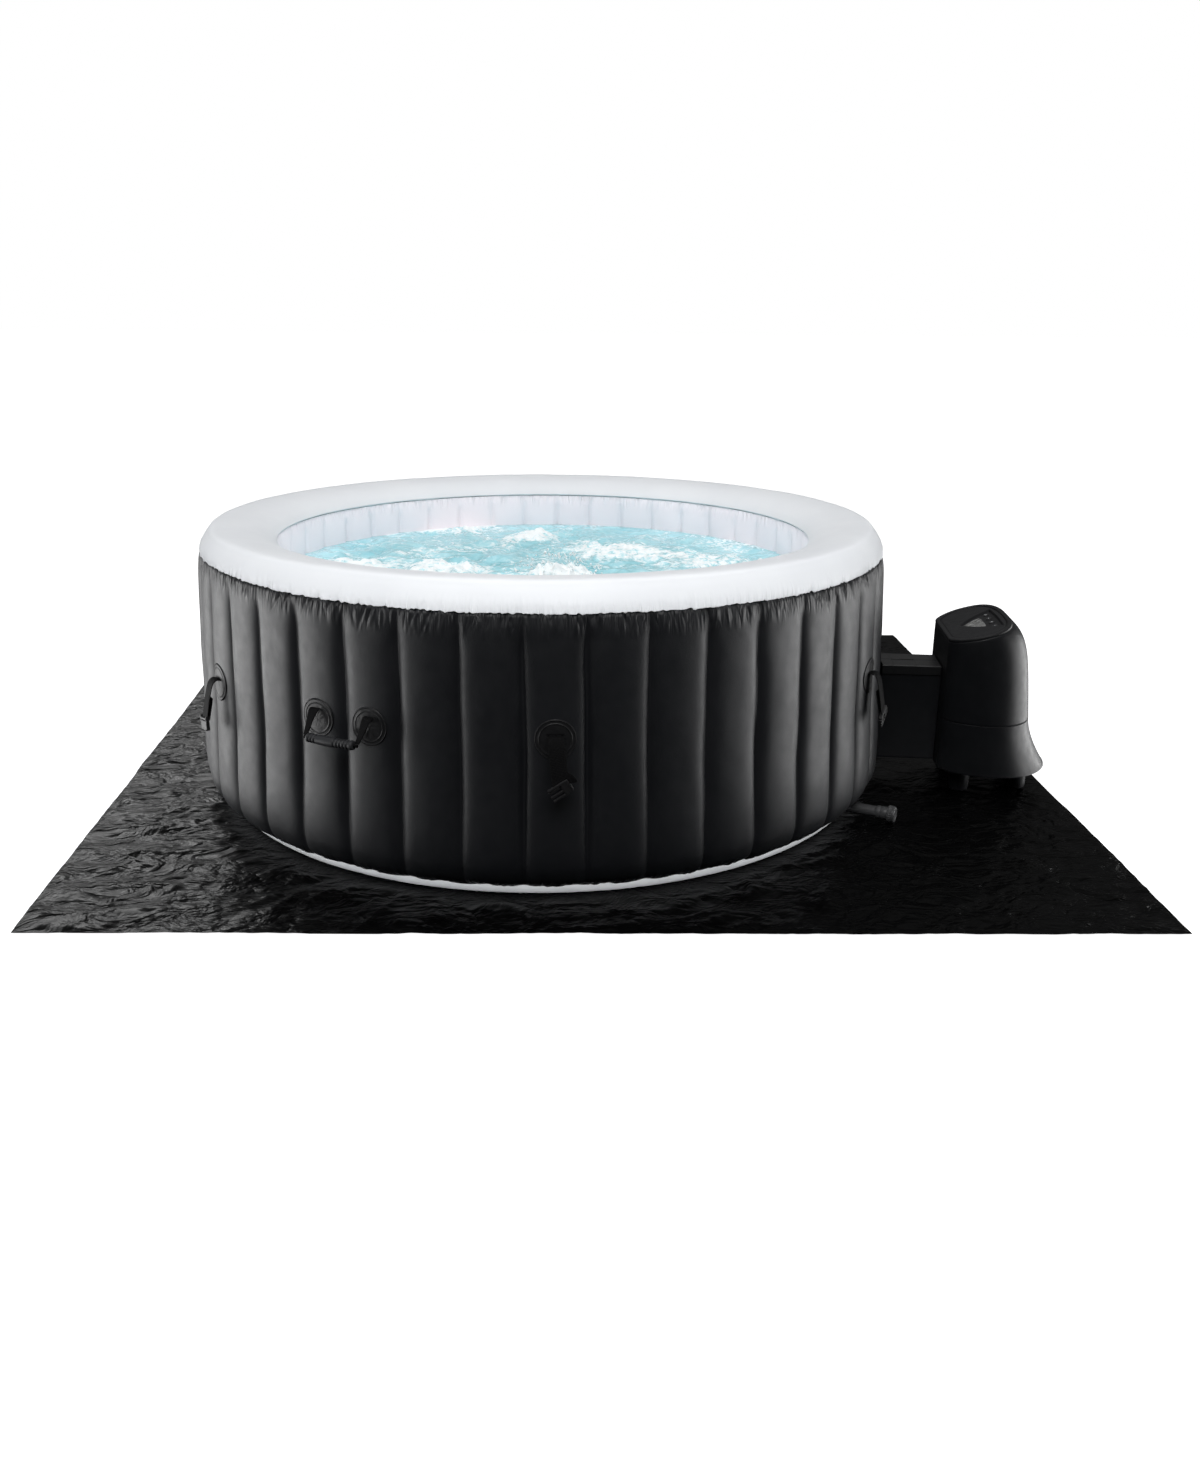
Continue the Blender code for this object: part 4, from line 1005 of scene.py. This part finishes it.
def around(loop, centre, count=200):
    """A loop's points at evenly spread directions from a centre, so that loops match up."""
    away = loop - np.array(centre)
    turn = np.arctan2(away[:, 1], away[:, 0])
    order = np.argsort(turn)
    wanted = turns(count, -math.pi)
    reach = np.interp(wanted, turn[order], np.hypot(*away[order].T), period=2 * math.pi)
    return np.array(centre) + np.stack([np.cos(wanted), np.sin(wanted)], -1) * reach[:, None]


def make_control_head():
    rings = [on_panel(*panel_loop(inset).T, z) for inset, z in (
        (0.0030, 0.0004), (0.0008, 0.0004), (0.0004, 0.0012), (0.0005, 0.0042), (0.0013, 0.0062),
        (0.0030, 0.0073), (0.0055, 0.0075), (0.0095, 0.0073), (0.0118, 0.0064), (0.0128, 0.0048),
        (0.0131, 0.0010), (0.0131, -0.0040))]
    bezel = grid("top_bezel_moulded", np.array(rings), True, False, (1, 1), 60)
    place(bezel, BEZEL, "root", ["top_bezel"])

    centre = np.array((0.108, 0.0))
    outer = around(panel_loop(0.0136), centre)
    shoulder = around(panel_loop(0.0160), centre)
    pocket = around(bowed_triangle(0.0474, 0.1450, 0.092, 0.010), centre)
    floor = around(bowed_triangle(0.0500, 0.1428, 0.0885, 0.0095), centre)
    rows = [(outer, -0.0040), (outer, 0.0038), (shoulder, 0.0050)]
    rows += [(shoulder * (1 - t) + pocket * t, 0.0050) for t in np.linspace(0.1, 0.93, 9)]
    rows += [(loop * share + centre * (1 - share), z) for loop, share, z in (
        (pocket, 0.985, 0.0044), (pocket, 0.97, 0.0034), (floor, 1, -0.0018),
        (floor, 0.97, -0.0030), (floor, 0.2, -0.0031))]
    rings = [on_panel(loop[:, 0], loop[:, 1], z) for loop, z in rows]
    panel = grid("control_panel_moulded", np.array(rings), True, True, (1, 1), 60)
    place(panel, PANEL, "root", ["control_panel"])

    rng = np.random.default_rng(5)
    middle = np.array((0.086, 0.0))
    edge = around(bowed_triangle(0.0520, 0.1085, 0.0520, 0.005), middle, 26)
    rings = [on_panel(edge[:, 0], edge[:, 1], -0.0028)]
    for share, z in ((0.99, -0.0012), (0.72, 0.0004), (0.42, 0.0000), (0.12, 0.0006)):
        inside = share < 0.9
        loop = edge * share + middle * (1 - share)
        loop = loop + rng.normal(0, 0.0012 * inside, loop.shape)
        z = z + 0.0008 * rng.random(len(loop)) * inside
        rings.append(on_panel(loop[:, 0], loop[:, 1], z))
    lens = grid("display_faceted", np.array(rings), True, True, (1, 1), 4)
    place(lens, DISPLAY, "root", ["display_lens"])

    tilt = math.atan(TOP_SLOPE)
    normal = -outward(STATION_ANGLE) * math.sin(tilt) + UP * math.cos(tilt)
    run = outward(STATION_ANGLE) * math.cos(tilt) + UP * math.sin(tilt)
    axes = (run, along(STATION_ANGLE), normal)
    for number, q in enumerate((-0.060, -0.020, 0.020, 0.060), start=1):
        name = "button_%d" % number
        origin = on_panel(0.1270, q, 0.0)
        button = lathe(name + "_domed", origin, normal, [
            (-4.5, 7), (-4.5, 7.5), (-1, 7.5), (-0.3, 7.1), (0, 6), (-0.3, 4), (-0.5, 0.3)], 40)
        place(button, BUTTON, name, [name])
        bars = ((0.0007, 0.0032), (0.0032, 0.0007)) if number in (2, 4) else ((0.0007, 0.0032),)
        marks = [box("mark", on_panel(0.1270, q, -0.0001), axes, (*bar, 0.00025), 0.0001)
                 for bar in bars]
        place(join(name + "_mark", marks), PALE, name)


make_case()
make_control_head()


# ---- CAD nodes that no piece replaces
INSIDE = {"wall_beams": BEAM_SKIN, "control_board": BOARD, "pump_volute": HOUSING,
          "air_blower": HOUSING, "pump_impeller": PALE, "blower_fan": PALE, "filter_housing": PALE,
          "pump_motor": STEEL, "heater_tube": STEEL, "filter_cartridge": PAPER}
for port in ("water_out", "water_in", "air"):
    INSIDE[port + "_fitting"] = PALE
    INSIDE[port + "_hose"] = RUBBER
for node, look in INSIDE.items():
    paint(NODES[node], look)


# ---- floor, light and camera
def make_floor_plane():
    side = 60.0
    floor = new_object("floor", [(x, y, -0.0005) for x, y in (
        (-side, -side), (side, -side), (side, side), (-side, side))], [[0, 1, 2, 3]])
    look = Look("pale_floor", Base_Color=(0.9, 0.9, 0.9), Roughness=0.9, Specular_IOR_Level=0.0,
                Emission_Color=(1.0, 1.0, 1.0), Emission_Strength=1.0)
    floor.data.materials.append(look.material)
    floor.visible_glossy = False
    floor.visible_diffuse = False
    floor.visible_shadow = False


def area_light(name, location, target, size, power, colour=(1, 1, 1)):
    data = bpy.data.lights.new(name, "AREA")
    data.shape = "RECTANGLE"
    data.size, data.size_y = size
    data.energy = power
    data.color = colour
    light = link(bpy.data.objects.new(name, data))
    light.location = location
    light.rotation_euler = (Vector(target) - Vector(location)).to_track_quat("-Z", "Y").to_euler()
    return light


def area_lights(state, pieces, *settings):
    """Lights that reach only these pieces (INCLUDE), or all but them (EXCLUDE)."""
    group = bpy.data.collections.new("lit_" + state.lower())
    for piece in pieces:
        group.objects.link(bpy.data.objects[piece])
    for entry in group.collection_objects:
        entry.light_linking.link_state = state
    for setting in settings:
        area_light(*setting).light_linking.receiver_collection = group


def make_lights():
    """Soft boxes. The photo's studio lit the white, the black and the cloth apart."""
    whites = ("rim_skin", "basin_skin", "tray_skin", "water", "spray")
    middle = (0, 0, 0.5)
    area_lights("EXCLUDE", whites,
                ("left_softbox", (-3.4, 0.1, 0.0), (0, 0, 0.2), (3.8, 1.6), 76),
                ("right_softbox", (3.8, 0.0, 0.0), (0, 0, 0.2), (3.6, 1.6), 78))
    area_lights("EXCLUDE", ("cloth_sheet",),
                ("front_softbox", (0.0, -3.0, 3.6), (0, 0, 0.6), (3.0, 2.0), 60))
    area_light("top_softbox", (0.0, 0.4, 3.6), middle, (2.6, 2.6), 12)
    area_lights("INCLUDE", whites,
                ("dome", (0.0, 0.0, 5.0), middle, (6.0, 6.0), 150),
                ("floor_bounce", (0.0, -3.2, 0.25), (0, 0, 0.45), (5.0, 0.5), 48),
                ("left_fill", (-3.6, -0.6, 0.5), middle, (3.0, 1.0), 50),
                ("right_fill", (3.8, -0.6, 0.5), middle, (3.0, 1.0), 54))
    area_lights("INCLUDE", ("basin_skin",),
                ("basin_fill", (0.0, 0.0, 2.2), middle, (1.6, 1.6), 22, (1.0, 0.93, 0.94)))
    area_lights("INCLUDE", ("cloth_sheet",),
                ("cloth_light", (-2.8, 3.0, 2.0), (-0.9, 0.4, 0.0), (3.0, 1.4), 90))


def make_world():
    """White to look at, while the light it gives comes mostly from overhead."""
    world = bpy.data.worlds.new("studio")
    bpy.context.scene.world = world
    world.use_nodes = True
    tree = world.node_tree
    tree.nodes.clear()
    output, seen, felt, spot, tilt, ramp, choose, path = (
        tree.nodes.new("ShaderNode" + kind)
        for kind in ("OutputWorld", "Background", "Background", "TexCoord", "VectorMath",
                     "MapRange", "MixShader", "LightPath"))
    seen.inputs["Color"].default_value = (1, 1, 1, 1)
    tilt.operation = "DOT_PRODUCT"
    tilt.inputs[1].default_value = (0.0, 0.10, 0.99)
    for socket, number in (("From Min", 0.15), ("From Max", 1.0), ("To Min", 0.02),
                           ("To Max", 0.46)):
        ramp.inputs[socket].default_value = number
    for a, b in ((spot.outputs["Generated"], tilt.inputs[0]),
                 (tilt.outputs["Value"], ramp.inputs["Value"]),
                 (ramp.outputs["Result"], felt.inputs["Strength"]),
                 (path.outputs["Is Camera Ray"], choose.inputs["Fac"]),
                 (felt.outputs[0], choose.inputs[1]), (seen.outputs[0], choose.inputs[2]),
                 (choose.outputs[0], output.inputs["Surface"])):
        tree.links.new(a, b)


def make_camera():
    """The photo's camera: its heading, pitch and roll are in degrees."""
    heading, pitch, roll = -3.819, 71.276, 0.5
    data = bpy.data.cameras.new("camera")
    data.lens = 30.814
    data.sensor_width = 36.0
    camera = link(bpy.data.objects.new("camera", data))
    camera.location = (-0.0711, -3.3371, 1.2199)
    turned = [Matrix.Rotation(math.radians(angle), 3, axis)
              for angle, axis in ((heading, "Z"), (pitch, "X"), (roll, "Z"))]
    camera.rotation_euler = (turned[0] @ turned[1] @ turned[2]).to_euler()
    bpy.context.scene.camera = camera


make_floor_plane()
make_world()
make_lights()
make_camera()
bpy.context.scene.view_settings.view_transform = "Standard"
